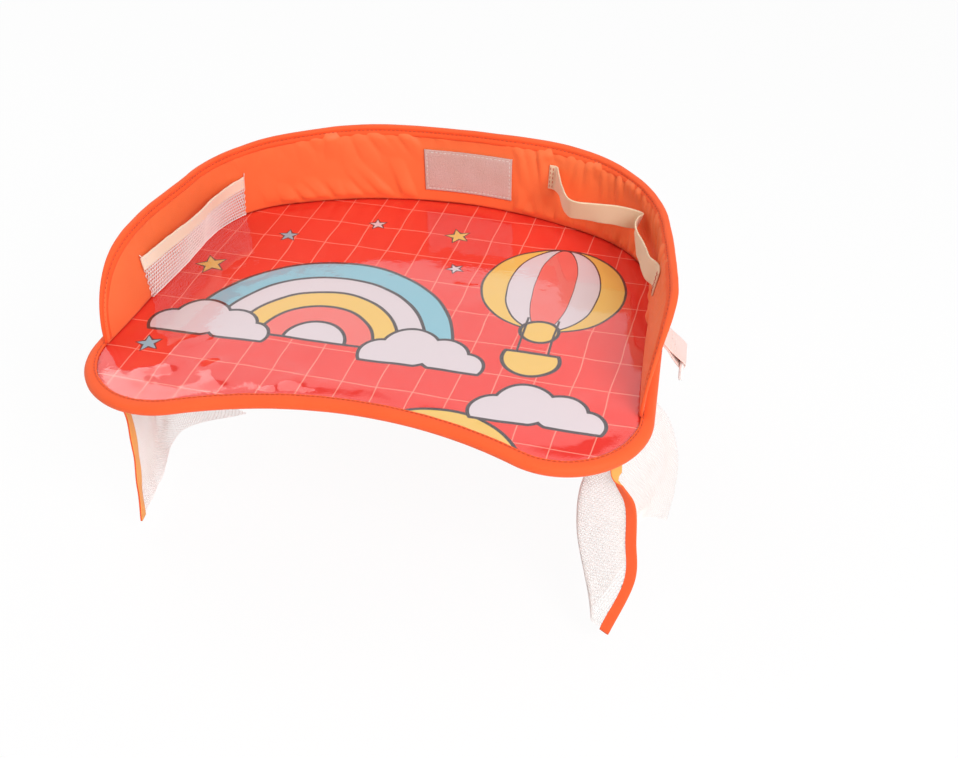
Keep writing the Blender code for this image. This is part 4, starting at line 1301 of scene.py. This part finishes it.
def top_place(distance, top, heading, across, out):
    """A point beside the wall's top edge: across it, and out from it in the wall's own plane."""
    sign = 1 if distance > 0 else -1
    return wall_point(distance + sign * out * heading.x, WALL_MIDDLE + across, top + out * heading.y)


rows = []
for distance, top, heading in wall_columns(0):
    pucker = 1 + TOP_PUCKER * ripple(distance * 140, top * 60, 6)
    sway = TOP_SWAY * ripple(distance * 45, top * 20, 8)
    inner = [(across * pucker, out + sway) for across, out in TOP_SECTION]
    section = inner + [(-across, out) for across, out in reversed(inner)]
    rows.append([top_place(distance, top, heading, across, out) for across, out in section])
top_tape = grid("wall_top_tape", rows, [tape], TOP_TAPE_THICKNESS, offset=-1)
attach(top_tape, "tray")
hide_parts("wall_top_binding")

seams = []
for side in (1, -1):
    path = [top_place(*column, side * TOP_SEAM_ACROSS, TOP_SEAM_DROP) for column in wall_columns(0)]
    seams.append((path, [outwards(distance) * -side for distance, _, _ in wall_columns(0)]))
stitch_row("wall_top_stitches", seams, orange_thread)
print("top tape rows", len(rows))

# %% [markdown]
# ## Loop patch
#
# A patch of hook-and-loop tape, the soft side, is sewn inside the back wall. Its pile is thousands
# of tiny loops. Hair would be too heavy, so the mesh is rough at the scale of the tufts and the
# material's bump is rough below that, and the seam round it presses a groove into the pile.

# %% Patch with its seam
PATCH_THICKNESS = 0.0014
PATCH_CELL = 0.0010
PATCH_SEAM_INSET = 0.0022
PILE_ROUGHNESS = 0.00022
PILE_TUFTS = 900
PATCH_GROOVE, GROOVE_WIDTH = 0.0005, 0.0008
PATCH_FALL, FALL_WIDTH = 0.0004, 0.0010
SEAM_STEP = 0.003


def patch_point(distance, height, lift):
    return wall_point(distance, WALL_FACE + SEAM_GAP + lift, height)


def pile_point(distance, height):
    """A point of the pile, which is rough, pressed in at the seam and lower at the rim."""
    rim = min(distance - PATCH_LOW, PATCH_HIGH - distance, height - PATCH_FOOT, PATCH_TOP - height)
    groove = PATCH_GROOVE * exp(-((rim - PATCH_SEAM_INSET) / GROOVE_WIDTH) ** 2)
    fall = PATCH_FALL * (1 - smooth_step(rim, 0, FALL_WIDTH))
    pile = PILE_ROUGHNESS * ripple(distance * PILE_TUFTS, height * PILE_TUFTS, 12)
    return patch_point(distance, height, PATCH_THICKNESS - groove - fall + pile)


across = even_steps(PATCH_LOW, PATCH_HIGH, PATCH_CELL)
rows = rows_of(across, even_steps(PATCH_FOOT, PATCH_TOP, PATCH_CELL), pile_point)
patch = grid("hook_and_loop_patch", rows, [loop_pile], PATCH_THICKNESS - PATCH_FALL, offset=-1)
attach(patch, "tray")
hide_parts("hook_loop_patch")


def box_seam(low, high, foot, top, inset, place):
    """A seam walked once round inside a rectangle, through place(distance, height)."""
    across = even_steps(low + inset, high - inset, SEAM_STEP)
    upright = even_steps(foot + inset, top - inset, SEAM_STEP)
    path = [(x, upright[0]) for x in across] + [(across[-1], y) for y in upright[1:]]
    path += [(x, upright[-1]) for x in across[-2::-1]] + [(across[0], y) for y in upright[-2::-1]]
    return [place(x, y) for x, y in path]


seam = box_seam(PATCH_LOW, PATCH_HIGH, PATCH_FOOT, PATCH_TOP, PATCH_SEAM_INSET,
                lambda distance, height: patch_point(distance, height, PATCH_THICKNESS - PATCH_FALL))
stitch_row("patch_stitches", [(seam, -outwards((PATCH_LOW + PATCH_HIGH) / 2))], white_thread)
print("patch", round(cut_area(patch) * 10000, 2), "cm2")

# %% [markdown]
# ## Nets
#
# The pocket and the skirts are knitted net. A flat sheet with holes in its alpha looks the same
# from far away, but its holes have no edges and its threads have no thickness. Here the net is
# real: hexagons are laid out flat, bent onto the cloth's shape and turned into threads with a
# Wireframe modifier.

# %% Helper for a knitted net
def knitted_net(name, wide, tall, cell, stretch, thread, place, finish):
    """A net of hexagons, cell metres across and stretched along its height, bent by place(across, up)."""
    corners = [(cos(pi / 6 + pi / 3 * turn), sin(pi / 6 + pi / 3 * turn)) for turn in range(6)]
    reach = cell / sqrt(3)
    pitch = cell * sqrt(3) / 2 * stretch
    numbers = {}
    flat = []
    faces = []
    for row in range(int((tall - 2 * reach * stretch) / pitch) + 1):
        start = cell / 2 + (row % 2) * cell / 2
        for column in range(int((wide - start - cell / 2) / cell) + 1):
            middle = (start + column * cell, reach * stretch + row * pitch)
            face = []
            for x, y in corners:
                corner = (middle[0] + x * reach, middle[1] + y * reach * stretch)
                key = (round(corner[0] * 1e5), round(corner[1] * 1e5))
                if key not in numbers:
                    numbers[key] = len(flat)
                    flat.append(corner)
                face.append(numbers[key])
            faces.append(face)
    mesh = bpy.data.meshes.new(name)
    mesh.from_pydata([place(*corner) for corner in flat], [], faces)
    made = finish_piece(mesh, [finish], smooth=False)
    wires = made.modifiers.new("Threads", "WIREFRAME")
    wires.thickness = thread
    wires.use_even_offset = False
    settle(made)
    mesh = made.data
    spots = np.zeros(len(mesh.vertices) * 3, np.float32)
    mesh.vertices.foreach_get("co", spots)
    spots = spots.reshape(-1, 3)
    corners_used = np.zeros(len(mesh.loops), np.int32)
    mesh.loops.foreach_get("vertex_index", corners_used)
    lay_map(mesh, np.stack([spots[corners_used, 0] + spots[corners_used, 1], spots[corners_used, 2]], 1))
    mesh.shade_smooth()
    return made


# %% Net pocket with its elastic top
POCKET_FRONT_END = WALL_END - 0.0562
POCKET_LENGTH = 0.152
POCKET_BACK_END = POCKET_FRONT_END - POCKET_LENGTH
POCKET_NET_HEIGHT = 0.028
POCKET_BAND_HEIGHT = 0.012
POCKET_BAND_THICKNESS = 0.0011
POCKET_MOUTH_BULGE = 0.008
POCKET_FOOT_BULGE = 0.004
POCKET_FOOT = FILM_TOP + 2 * SEAM_GAP
POCKET_MOUTH = POCKET_FOOT + POCKET_NET_HEIGHT + POCKET_BAND_HEIGHT
POCKET_NET_CELL = 0.0024
POCKET_NET_THREAD = 0.00112
POCKET_NET_STRETCH = 1.5
POCKET_CLEARANCE = 0.0010
POCKET_TAPER = 0.035
POCKET_SLACK = 0.0010
NET_TUCK = 0.002
BAND_SECTION = (0, 0.04, 0.12, 0.3, 0.5, 0.7, 0.88, 0.96, 1)
BAND_LIFT = 0.0007
BAND_SWELL = 0.0004
BAND_WAVE = 0.0007
BAND_SEAMS = ((0.12, 0.0014), (0.88, 0.0014))
END_SEAMS = (0.012, 0.030, 0.970, 0.988)
END_SEAM_LIFT = 0.0013
TAIL_LENGTH = 0.0045
TAILS = ((0.006, -0.008), (0.994, 0.010))
TAIL_LIFT = 0.0012
TAIL_RADIUS = 0.0004


def pocket_point(share, height, lift=0.0):
    """A point of the pocket. Its share runs from the back end to the front end."""
    up = (height - POCKET_FOOT) / (POCKET_MOUTH - POCKET_FOOT)
    taper = POCKET_TAPER * (1 - up) * smooth_step(share, 0.6, 1)
    bulge = POCKET_FOOT_BULGE + (POCKET_MOUTH_BULGE - POCKET_FOOT_BULGE) * up
    slack = POCKET_SLACK * ripple(share * 7, up * 1.3, 14) * sin(pi * share)
    distance = POCKET_BACK_END + POCKET_LENGTH * (share - taper)
    reach = WALL_FACE + POCKET_CLEARANCE + lift + bulge * sin(pi * share) + slack
    return wall_point(-distance, reach, height)


def pocket_inwards(share):
    return -outwards(-(POCKET_BACK_END + POCKET_LENGTH * share))


def band_point(share, step):
    """A point of the elastic band, which swells and waves a little."""
    height = band_foot + POCKET_BAND_HEIGHT * step + BAND_WAVE * ripple(share * 11, 0, 16) * step
    return pocket_point(share, height, BAND_LIFT + BAND_SWELL * ripple(share * 30, step, 15))


net_tall = POCKET_NET_HEIGHT + NET_TUCK
net = knitted_net("pocket_netting", POCKET_LENGTH, net_tall, POCKET_NET_CELL, POCKET_NET_STRETCH,
                  POCKET_NET_THREAD,
                  lambda across, high: pocket_point(across / POCKET_LENGTH, POCKET_FOOT + high), net_thread)
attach(net, "tray")
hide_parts("pocket_net")

band_foot = POCKET_FOOT + POCKET_NET_HEIGHT
rows = rows_of(even_steps(0, 1, 0.014), BAND_SECTION, band_point)
band = grid("pocket_elastic", rows, [pocket_band], POCKET_BAND_THICKNESS)
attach(band, "tray")
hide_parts("pocket_elastic_band")

seams = []
shares = even_steps(0.01, 0.99, 0.02)
for step, lift in BAND_SEAMS:
    path = [pocket_point(share, band_foot + POCKET_BAND_HEIGHT * step, lift) for share in shares]
    seams.append((path, [pocket_inwards(share) for share in shares]))
for share in END_SEAMS:
    heights = even_steps(POCKET_FOOT + 0.001, POCKET_MOUTH - 0.001, SEAM_STEP)
    seams.append(([pocket_point(share, height, END_SEAM_LIFT) for height in heights], pocket_inwards(share)))
stitch_row("pocket_stitches", seams, white_thread)

tails = []
for share, sideways in TAILS:
    root = pocket_point(share, POCKET_MOUTH - 0.001, TAIL_LIFT)
    tip = pocket_point(share + sideways, POCKET_MOUTH + TAIL_LENGTH, TAIL_LIFT)
    tails.append(([root, tip], pocket_inwards(share)))
stitch_row("pocket_thread_tails", tails, white_thread, length=TAIL_LENGTH, gap=0.001, radius=TAIL_RADIUS)
print("pocket net faces", len(net.data.polygons))

# %% [markdown]
# ## Bottle loop
#
# A strap of cream elastic is sewn to the wall at both ends and stands off the corner between them,
# to hold a bottle. One swept curve would keep it upright, but the band twists a little on its way.
# So its upper and its lower edge go through places of their own, each a distance along the wall and
# a reach from it, and the cloth lies between the two.

# %% Elastic loop
LOOP_SEAM_LIFT = 0.0008
LOOP_LEAVES = (0.0995, 0.0985)
LOOP_PLACES = (
    (0.1050, 0.0030, 0.1040, 0.0016), (0.1100, 0.0095, 0.1085, 0.0055), (0.1170, 0.0180, 0.1150, 0.0135),
    (0.1230, 0.0240, 0.1210, 0.0200), (0.1300, 0.0300, 0.1275, 0.0255), (0.1380, 0.0350, 0.1350, 0.0287),
    (0.1470, 0.0348, 0.1430, 0.0265), (0.1620, 0.0300, 0.1560, 0.0228), (0.1740, 0.0238, 0.1677, 0.0196),
    (0.1850, 0.0172, 0.1780, 0.0150), (0.1950, 0.0105, 0.1870, 0.0100), (0.2030, 0.0055, 0.1935, 0.0045),
    (0.2105, 0.0028, 0.1970, 0.0028), (0.2140, 0.0075, 0.2030, 0.0060), (0.2200, 0.0110, 0.2120, 0.0085),
    (0.2270, 0.0132, 0.2220, 0.0107), (0.2360, 0.0140, 0.2330, 0.0122), (0.2460, 0.0128, 0.2440, 0.0124),
    (0.2560, 0.0100, 0.2550, 0.0105), (0.2700, 0.0055, 0.2690, 0.0075), (0.2790, 0.0026, 0.2790, 0.0040),
)
LOOP_MEETS = (0.2880, 0.2860)
LOOP_BAND_THICKNESS = 0.0011
LOOP_SWAY = 0.0005
LOOP_STEPS = 4
LOOP_CLEARANCE = 0.0015
LOOP_SECTION = (0, 0.03, 0.1, 0.25, 0.5, 0.75, 0.9, 0.97, 1)
LOOP_STITCH_LIFT = 0.0016
LOOP_STITCH_INSETS = (0.0014, 0.0040)
LOOP_STITCH_MARGIN = 0.0008


def loop_corners(edge, height):
    """One edge of the strap, 0 for the upper and 1 for the lower, through its chosen places."""
    sewn = WALL_FACE + LOOP_SEAM_LIFT
    corners = [wall_point(LOOP_SEAMS[0], sewn, height), wall_point(LOOP_LEAVES[edge], sewn, height)]
    for place in LOOP_PLACES:
        distance, reach = place[2 * edge], place[2 * edge + 1]
        reach = max(reach, lean(distance, height) + LOOP_CLEARANCE)
        corners.append(inside_edge(distance, WALL_FACE + reach, height))
    return corners + [wall_point(LOOP_MEETS[edge], sewn, height), wall_point(LOOP_SEAMS[1], sewn, height)]


def smooth_path(places, steps):
    """A smooth line through places, with steps points between each two."""
    made = []
    for index in range(len(places) - 1):
        first, second = places[index], places[index + 1]
        leave = (second - places[max(index - 1, 0)]) / 2
        arrive = (places[min(index + 2, len(places) - 1)] - first) / 2
        made += [bend(first, second, leave, arrive, step / steps) for step in range(steps)]
    return made + [places[-1]]


upper = smooth_path(loop_corners(0, LOOP_TOP), LOOP_STEPS)
lower = smooth_path(loop_corners(1, LOOP_FOOT), LOOP_STEPS)
rows = []
for index, (high, low) in enumerate(zip(upper, lower)):
    share = index / (len(upper) - 1)
    row = []
    for step in LOOP_SECTION:
        sway = Vector([ripple(share * 14, step, seed) for seed in (20, 21, 22)])
        row.append(low.lerp(high, step) + sway * (LOOP_SWAY * sin(pi * share)))
    rows.append(row)
loop = grid("bottle_loop_elastic", rows, [elastic], LOOP_BAND_THICKNESS)
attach(loop, "tray")
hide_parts("bottle_loop_band")

seams = []
heights = even_steps(LOOP_FOOT + LOOP_STITCH_MARGIN, LOOP_TOP - LOOP_STITCH_MARGIN, SEAM_STEP)
for start, turn in ((LOOP_SEAMS[0], 1), (LOOP_SEAMS[1], -1)):
    for inset in LOOP_STITCH_INSETS[::turn]:
        distance = start + turn * inset
        path = [wall_point(distance, WALL_FACE + LOOP_STITCH_LIFT, height) for height in heights]
        seams.append((path, -outwards(distance)))
stitch_row("bottle_loop_stitches", seams, orange_thread)

# %% [markdown]
# ## Strap tabs
#
# On the outside of each side wall, webbing is folded round a plastic loop and held under a nylon
# flap. The webbing turns at its seam on the tab's body, and the plastic loop keeps its solid and
# hangs in the fold. The flap stays on the wall.

# %% Flaps and webbing
TAB_SEAM_HEIGHT = 0.022
TAB_SEAM_REACH = 0.0019
TAB_REACH = 0.0191
TAB_DROP = 0.023
WEBBING_WIDTH = 0.025
WEBBING_THICKNESS = 0.0010
WEBBING_LAYER_GAP = 0.0002
WEBBING_CURL = 0.0002
RING_WIRE_RADIUS = 0.0016
WEBBING_SECTION = (-0.5, -0.485, -0.44, -0.3, -0.1, 0.1, 0.3, 0.44, 0.485, 0.5)
WEBBING_PARTS = (0.35, 1)
WEBBING_SEAMS = (0.50, 0.62)
FLAP_THICKNESS = 0.0008
FLAP_PUFF = 0.00018
FLAP_PUFF_REACH = (0.0015, 0.006)
FLAP_CELL = 0.0013
FLAP_SEAM_INSET = 0.0018
UP = Vector((0, 0, 1))


def tab_frame(side):
    """The tab's place on the wall's outer face, with the directions outwards and along the wall."""
    out = outwards(side * TAB_MIDDLE)
    return inside_edge(side * TAB_MIDDLE, 0, 0) - out * WALL_INSET, out, UP.cross(out)


def tab_webbing(side, name):
    """White webbing folded double round the ring's bar."""
    face, out, along = tab_frame(side)
    seam = face + out * TAB_SEAM_REACH + UP * TAB_SEAM_HEIGHT
    fold = seam + out * TAB_REACH - UP * TAB_DROP
    run = (fold - seam).normalized()
    square = along.cross(run) * side
    near = (WEBBING_LAYER_GAP + WEBBING_THICKNESS) / 2
    around = RING_WIRE_RADIUS + SEAM_GAP + WEBBING_THICKNESS / 2
    length = (fold - seam).length

    def leaf(share, face, lift=0):
        """The middle of one of the two leaves, which part towards the ring's bar."""
        apart = near + (around - near) * smooth_step(share, *WEBBING_PARTS) + lift
        return seam + run * length * share + square * (face * apart)

    shares = even_steps(0, 1, 0.09)[:-1]
    profile = [leaf(share, 1) for share in shares]
    for angle in even_steps(0, pi, radians(12)):
        profile.append(fold + run * around * sin(angle) + square * around * cos(angle))
    profile += [leaf(share, -1) for share in shares[::-1]]
    rows = []
    for index, place in enumerate(profile):
        row = []
        for step in WEBBING_SECTION:
            curl = square * WEBBING_CURL * ripple(index * 0.3, step * 2, 40 + side)
            row.append(place + along * WEBBING_WIDTH * step + curl)
        rows.append(row)
    made = grid(name + "_tab_strap", rows, [webbing], WEBBING_THICKNESS)
    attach(made, name + "_tab")
    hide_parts(name + "_tab_webbing")
    seams = []
    for share in WEBBING_SEAMS:
        for turn in (1, -1):
            middle = leaf(share, turn, WEBBING_THICKNESS / 2)
            path = [middle + along * WEBBING_WIDTH * step for step in even_steps(-0.46, 0.46, 0.1)]
            seams.append((path, square * turn))
    stitch_row(name + "_tab_stitches", seams, white_thread, body=name + "_tab")


def tab_flap(side, name):
    """The nylon flap over the webbing's ends, sewn to the wall along its border."""
    half, top = FLAP_WIDTH / 2, FLAP_FOOT + FLAP_HEIGHT

    def flap_point(across, height, lift=FLAP_THICKNESS):
        return wall_point(side * TAB_MIDDLE + across, WALL_INSET - SEAM_GAP - lift, height)

    def puffed(across, height):
        puff = FLAP_PUFF * smooth_step(min(half - abs(across), top - height), *FLAP_PUFF_REACH)
        puff *= 1 + ripple(across * 300, height * 200, 44 + side)
        return flap_point(across, height, FLAP_THICKNESS / 2 + puff)

    rows = rows_of(even_steps(-half, half, FLAP_CELL), even_steps(FLAP_FOOT, top, FLAP_CELL), puffed)
    made = grid(name + "_tab_flap", rows, [nylon], FLAP_THICKNESS)
    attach(made, "tray")
    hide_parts(name + "_tab_anchor")
    border = box_seam(-half, half, FLAP_FOOT, top, FLAP_SEAM_INSET, flap_point)
    stitch_row(name + "_flap_stitches", [(border, outwards(side * TAB_MIDDLE))], orange_thread)


for side, name in ((1, "right"), (-1, "left")):
    tab_webbing(side, name)
    tab_flap(side, name)
print("tabs at", round(TAB_MIDDLE, 4), "m along the edge")

# %% [markdown]
# ## Net skirts
#
# A net skirt hangs from a tape sewn under each side. Its main folds are lines down the cloth, five
# on the right and four on the left, each through five places, with a smooth sheet through them. A
# cloth simulation would drop it straight, while here it hangs as it came out of its bag. Its front
# edge is bound with tape, which on the right side has twisted near the top, so that its paler back
# shows there.

# %% How a skirt falls
SKIRT_SEAM_INSET = 0.022
SKIRT_SEAM_FRONT = 0.0365
SKIRT_SEAM_LENGTH = 0.093
SEAM_TAPE_WIDTH = 0.007
SEAM_TAPE_OVERHANG = 0.002
SEAM_TAPE_THICKNESS = 0.0008
SKIRT_SWING_CLEARANCE = 0.0005
SKIRT_DROP = 0.162
SKIRT_NET_WIDTH = {1: 0.150, -1: 0.138}
SKIRT_CELL = 0.0023
SKIRT_THREAD = 0.00054
SKIRT_TAPE_WIDTH = 0.0076
SKIRT_TAPE_THICKNESS = 0.0006
SKIRT_TAPE_FROM = 0.003
TWIST_SHARES = (0.15, 0.25)
SKIRT_TAPE_PROUD = 0.0008
FOLD_SHARES = {
    1: (
        ((0.02, 0.00, 0.16), (0.09, -0.01, 0.28), (0.11, -0.03, 0.48), (0.12, -0.07, 0.69),
         (0.03, -0.14, 0.98)),
        ((-0.1, -0.01, 0.17), (-0.16, -0.07, 0.35), (-0.15, -0.14, 0.53), (-0.1, -0.21, 0.73),
         (-0.05, -0.29, 0.92)),
        ((0.00, 0.06, 0.19), (-0.01, 0.00, 0.39), (0.00, -0.05, 0.56), (0.03, -0.10, 0.72),
         (0.06, -0.13, 0.84)),
        ((0.05, 0.07, 0.17), (0.12, 0.01, 0.34), (0.13, -0.02, 0.51), (0.12, -0.05, 0.66),
         (0.10, -0.08, 0.74)),
        ((0.08, 0.00, 0.14), (0.17, 0.00, 0.26), (0.23, -0.04, 0.42), (0.24, -0.09, 0.61),
         (0.22, -0.14, 0.80)),
    ),
    -1: (
        ((-0.05, 0.00, 0.18), (-0.04, 0.01, 0.37), (-0.01, 0.03, 0.56), (0.03, 0.05, 0.77),
         (0.06, 0.06, 0.97)),
        ((-0.01, 0.02, 0.19), (-0.01, 0.04, 0.39), (0.02, 0.07, 0.58), (0.06, 0.12, 0.78),
         (0.08, 0.17, 0.96)),
        ((0.01, 0.02, 0.19), (0.04, 0.08, 0.39), (0.07, 0.16, 0.58), (0.11, 0.25, 0.77), (0.13, 0.33, 0.95)),
        ((0.00, -0.01, 0.19), (-0.03, 0.05, 0.37), (-0.06, 0.11, 0.56), (-0.12, 0.18, 0.73),
         (-0.22, 0.27, 0.87)),
    ),
}
SEAM_SHARES = {1: (0, 0.32, 0.55, 0.78, 1), -1: (0, 0.30, 0.66, 1)}
SKIRT_RIPPLE = 0.0012


def through(places, share):
    """A smooth line through places that share equal stretches, read at a share of its length."""
    stretches = len(places) - 1
    index = min(int(share * stretches), stretches - 1)
    first, second = places[index], places[index + 1]
    before = places[index - 1] if index > 0 else first * 2 - second
    after = places[index + 2] if index + 2 < len(places) else second * 2 - first
    return bend(first, second, (second - before) / 2, (after - first) / 2, share * stretches - index)


def skirt_seam(side):
    """The front end of the line under the base that a skirt hangs from."""
    level = -SEAM_GAP - SEAM_TAPE_THICKNESS - SKIRT_SWING_CLEARANCE
    return Vector((side * (TRAY_WIDTH / 2 - SKIRT_SEAM_INSET), SKIRT_SEAM_FRONT - TRAY_DEPTH / 2, level))


def skirt_place(side, along, down):
    """A point of a skirt's cloth, at shares of its way from front to rear and from the seam down."""
    lines = []
    for line, seam_share in zip(FOLD_SHARES[side], SEAM_SHARES[side]):
        top = skirt_seam(side) + Vector((0, SKIRT_SEAM_LENGTH * seam_share, 0))
        places = [top + Vector((side * out, back, -drop)) * SKIRT_DROP for out, back, drop in line]
        lines.append(through([top] + places, down))
    point = through(lines, along)
    free = smooth_step(along, 0.08, 0.25) * smooth_step(down, 0.02, 0.25)
    point.x += SKIRT_RIPPLE * free * ripple(along * 9 + side, down * 5, 50)
    point.y += SKIRT_RIPPLE * free * ripple(along * 7 + side, down * 6, 51)
    return point


def skirt_normal(side, along, down):
    """The cloth's own normal, from two short steps along its surface."""
    step = 0.01
    ahead, below = min(along + step, 1), min(down + step, 1)
    place = skirt_place(side, ahead, below)
    across = place - skirt_place(side, ahead - step, below)
    return across.cross(place - skirt_place(side, ahead, below - step)).normalized()


# %% Skirt nets, seam tapes and edge tapes
FOLD_HALVES = ((1, 1), (0.9, 1), (0.6, 1), (0.2, 1), (-0.3, 1), (-0.75, 1), (-0.95, 0.6))
FOLD_LAYER = 0.0007
EDGE_TAPE_SWAY = 0.5
SEAM_TAPE_SECTION = (-1, -0.94, -0.5, 0, 0.5, 0.94, 1)
SEAM_TAPE_SAG = 0.0002
SEAM_STITCHES = 0.72


def twist_turn(side, down):
    """How far the edge tape has turned over, which on the right side it has near its top."""
    if side > 0:
        return -pi / 2 * (1 - smooth_step(down, *TWIST_SHARES))
    return EDGE_TAPE_SWAY * ripple(down * 4, 0, 55)


def edge_tape_section(side, down):
    """The tape folded round the skirt's front edge, at a share of the drop."""
    half = SKIRT_TAPE_WIDTH / 2
    edge = skirt_place(side, 0, down)
    inward = (skirt_place(side, SKIRT_TAPE_WIDTH / SKIRT_NET_WIDTH[side], down) - edge).normalized()
    normal = skirt_normal(side, 0, down)
    middle = edge + inward * (half - SKIRT_TAPE_PROUD)
    turn = twist_turn(side, down)
    across = inward * cos(turn) + normal * sin(turn)
    face = normal * cos(turn) - inward * sin(turn)
    front = [middle + across * half * share + face * FOLD_LAYER * lift for share, lift in FOLD_HALVES]
    back = [middle + across * half * share - face * FOLD_LAYER * lift for share, lift in FOLD_HALVES]
    return front + [middle - across * half] + back[::-1]


def skirt(side, name):
    seam = skirt_seam(side)
    wide = SKIRT_NET_WIDTH[side]

    def net_point(across, down):
        """A point of the net. Where the right tape has twisted, the net's front edge is drawn in."""
        drawn_in = max(side, 0) * (1 - smooth_step(down / SKIRT_DROP, *TWIST_SHARES))
        start = drawn_in * (SKIRT_TAPE_WIDTH / 2 - SKIRT_TAPE_PROUD)
        return skirt_place(side, (start + across * (1 - start / wide)) / wide, down / SKIRT_DROP)

    net = knitted_net(name + "_skirt_netting", wide, SKIRT_DROP, SKIRT_CELL, 1.0, SKIRT_THREAD, net_point,
                      net_thread)
    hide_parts(name + "_skirt_net")
    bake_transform(net)

    rows = [edge_tape_section(side, down) for down in even_steps(SKIRT_TAPE_FROM / SKIRT_DROP, 1, 0.009)]
    edge = grid(name + "_skirt_binding", rows, [tape, tape_back], SKIRT_TAPE_THICKNESS)
    strips = len(rows[0]) - 1
    for index, face in enumerate(edge.data.polygons):
        face.material_index = int(index % strips > strips // 2)
    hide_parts(name + "_skirt_edge_tape")
    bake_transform(settle(edge))

    def seam_point(back_way, across):
        sag = SEAM_TAPE_SAG * ripple(back_way * 200, across, 60) - SEAM_GAP - SEAM_TAPE_THICKNESS / 2
        return Vector((seam.x + SEAM_TAPE_WIDTH / 2 * across, seam.y + back_way, sag))

    back_ways = even_steps(-SEAM_TAPE_OVERHANG, SKIRT_SEAM_LENGTH + SEAM_TAPE_OVERHANG, 0.0025)
    seam_tape = grid(name + "_skirt_seam", rows_of(back_ways, SEAM_TAPE_SECTION, seam_point), [tape],
                     SEAM_TAPE_THICKNESS)
    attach(seam_tape, "tray")
    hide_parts(name + "_skirt_seam_tape")
    seams = []
    for across in (-SEAM_STITCHES, SEAM_STITCHES):
        x = seam.x + SEAM_TAPE_WIDTH / 2 * across
        ways = even_steps(0, SKIRT_SEAM_LENGTH, SEAM_STEP)
        seams.append(([Vector((x, seam.y + way, -SEAM_GAP - SEAM_TAPE_THICKNESS)) for way in ways], -UP))
    stitch_row(name + "_skirt_seam_stitches", seams, orange_thread)
    print(name, "skirt: net faces", len(net.data.polygons))


skirt(1, "right")
skirt(-1, "left")

# %% [markdown]
# ## Finish
#
# The boxes of the imported model and of the dressed scene are printed.

# %% Sizes and end
visual_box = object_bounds()
for label, (low, high) in (("cad", cad_box), ("visual", visual_box)):
    print(label, [round(value, 4) for value in low], [round(value, 4) for value in high])
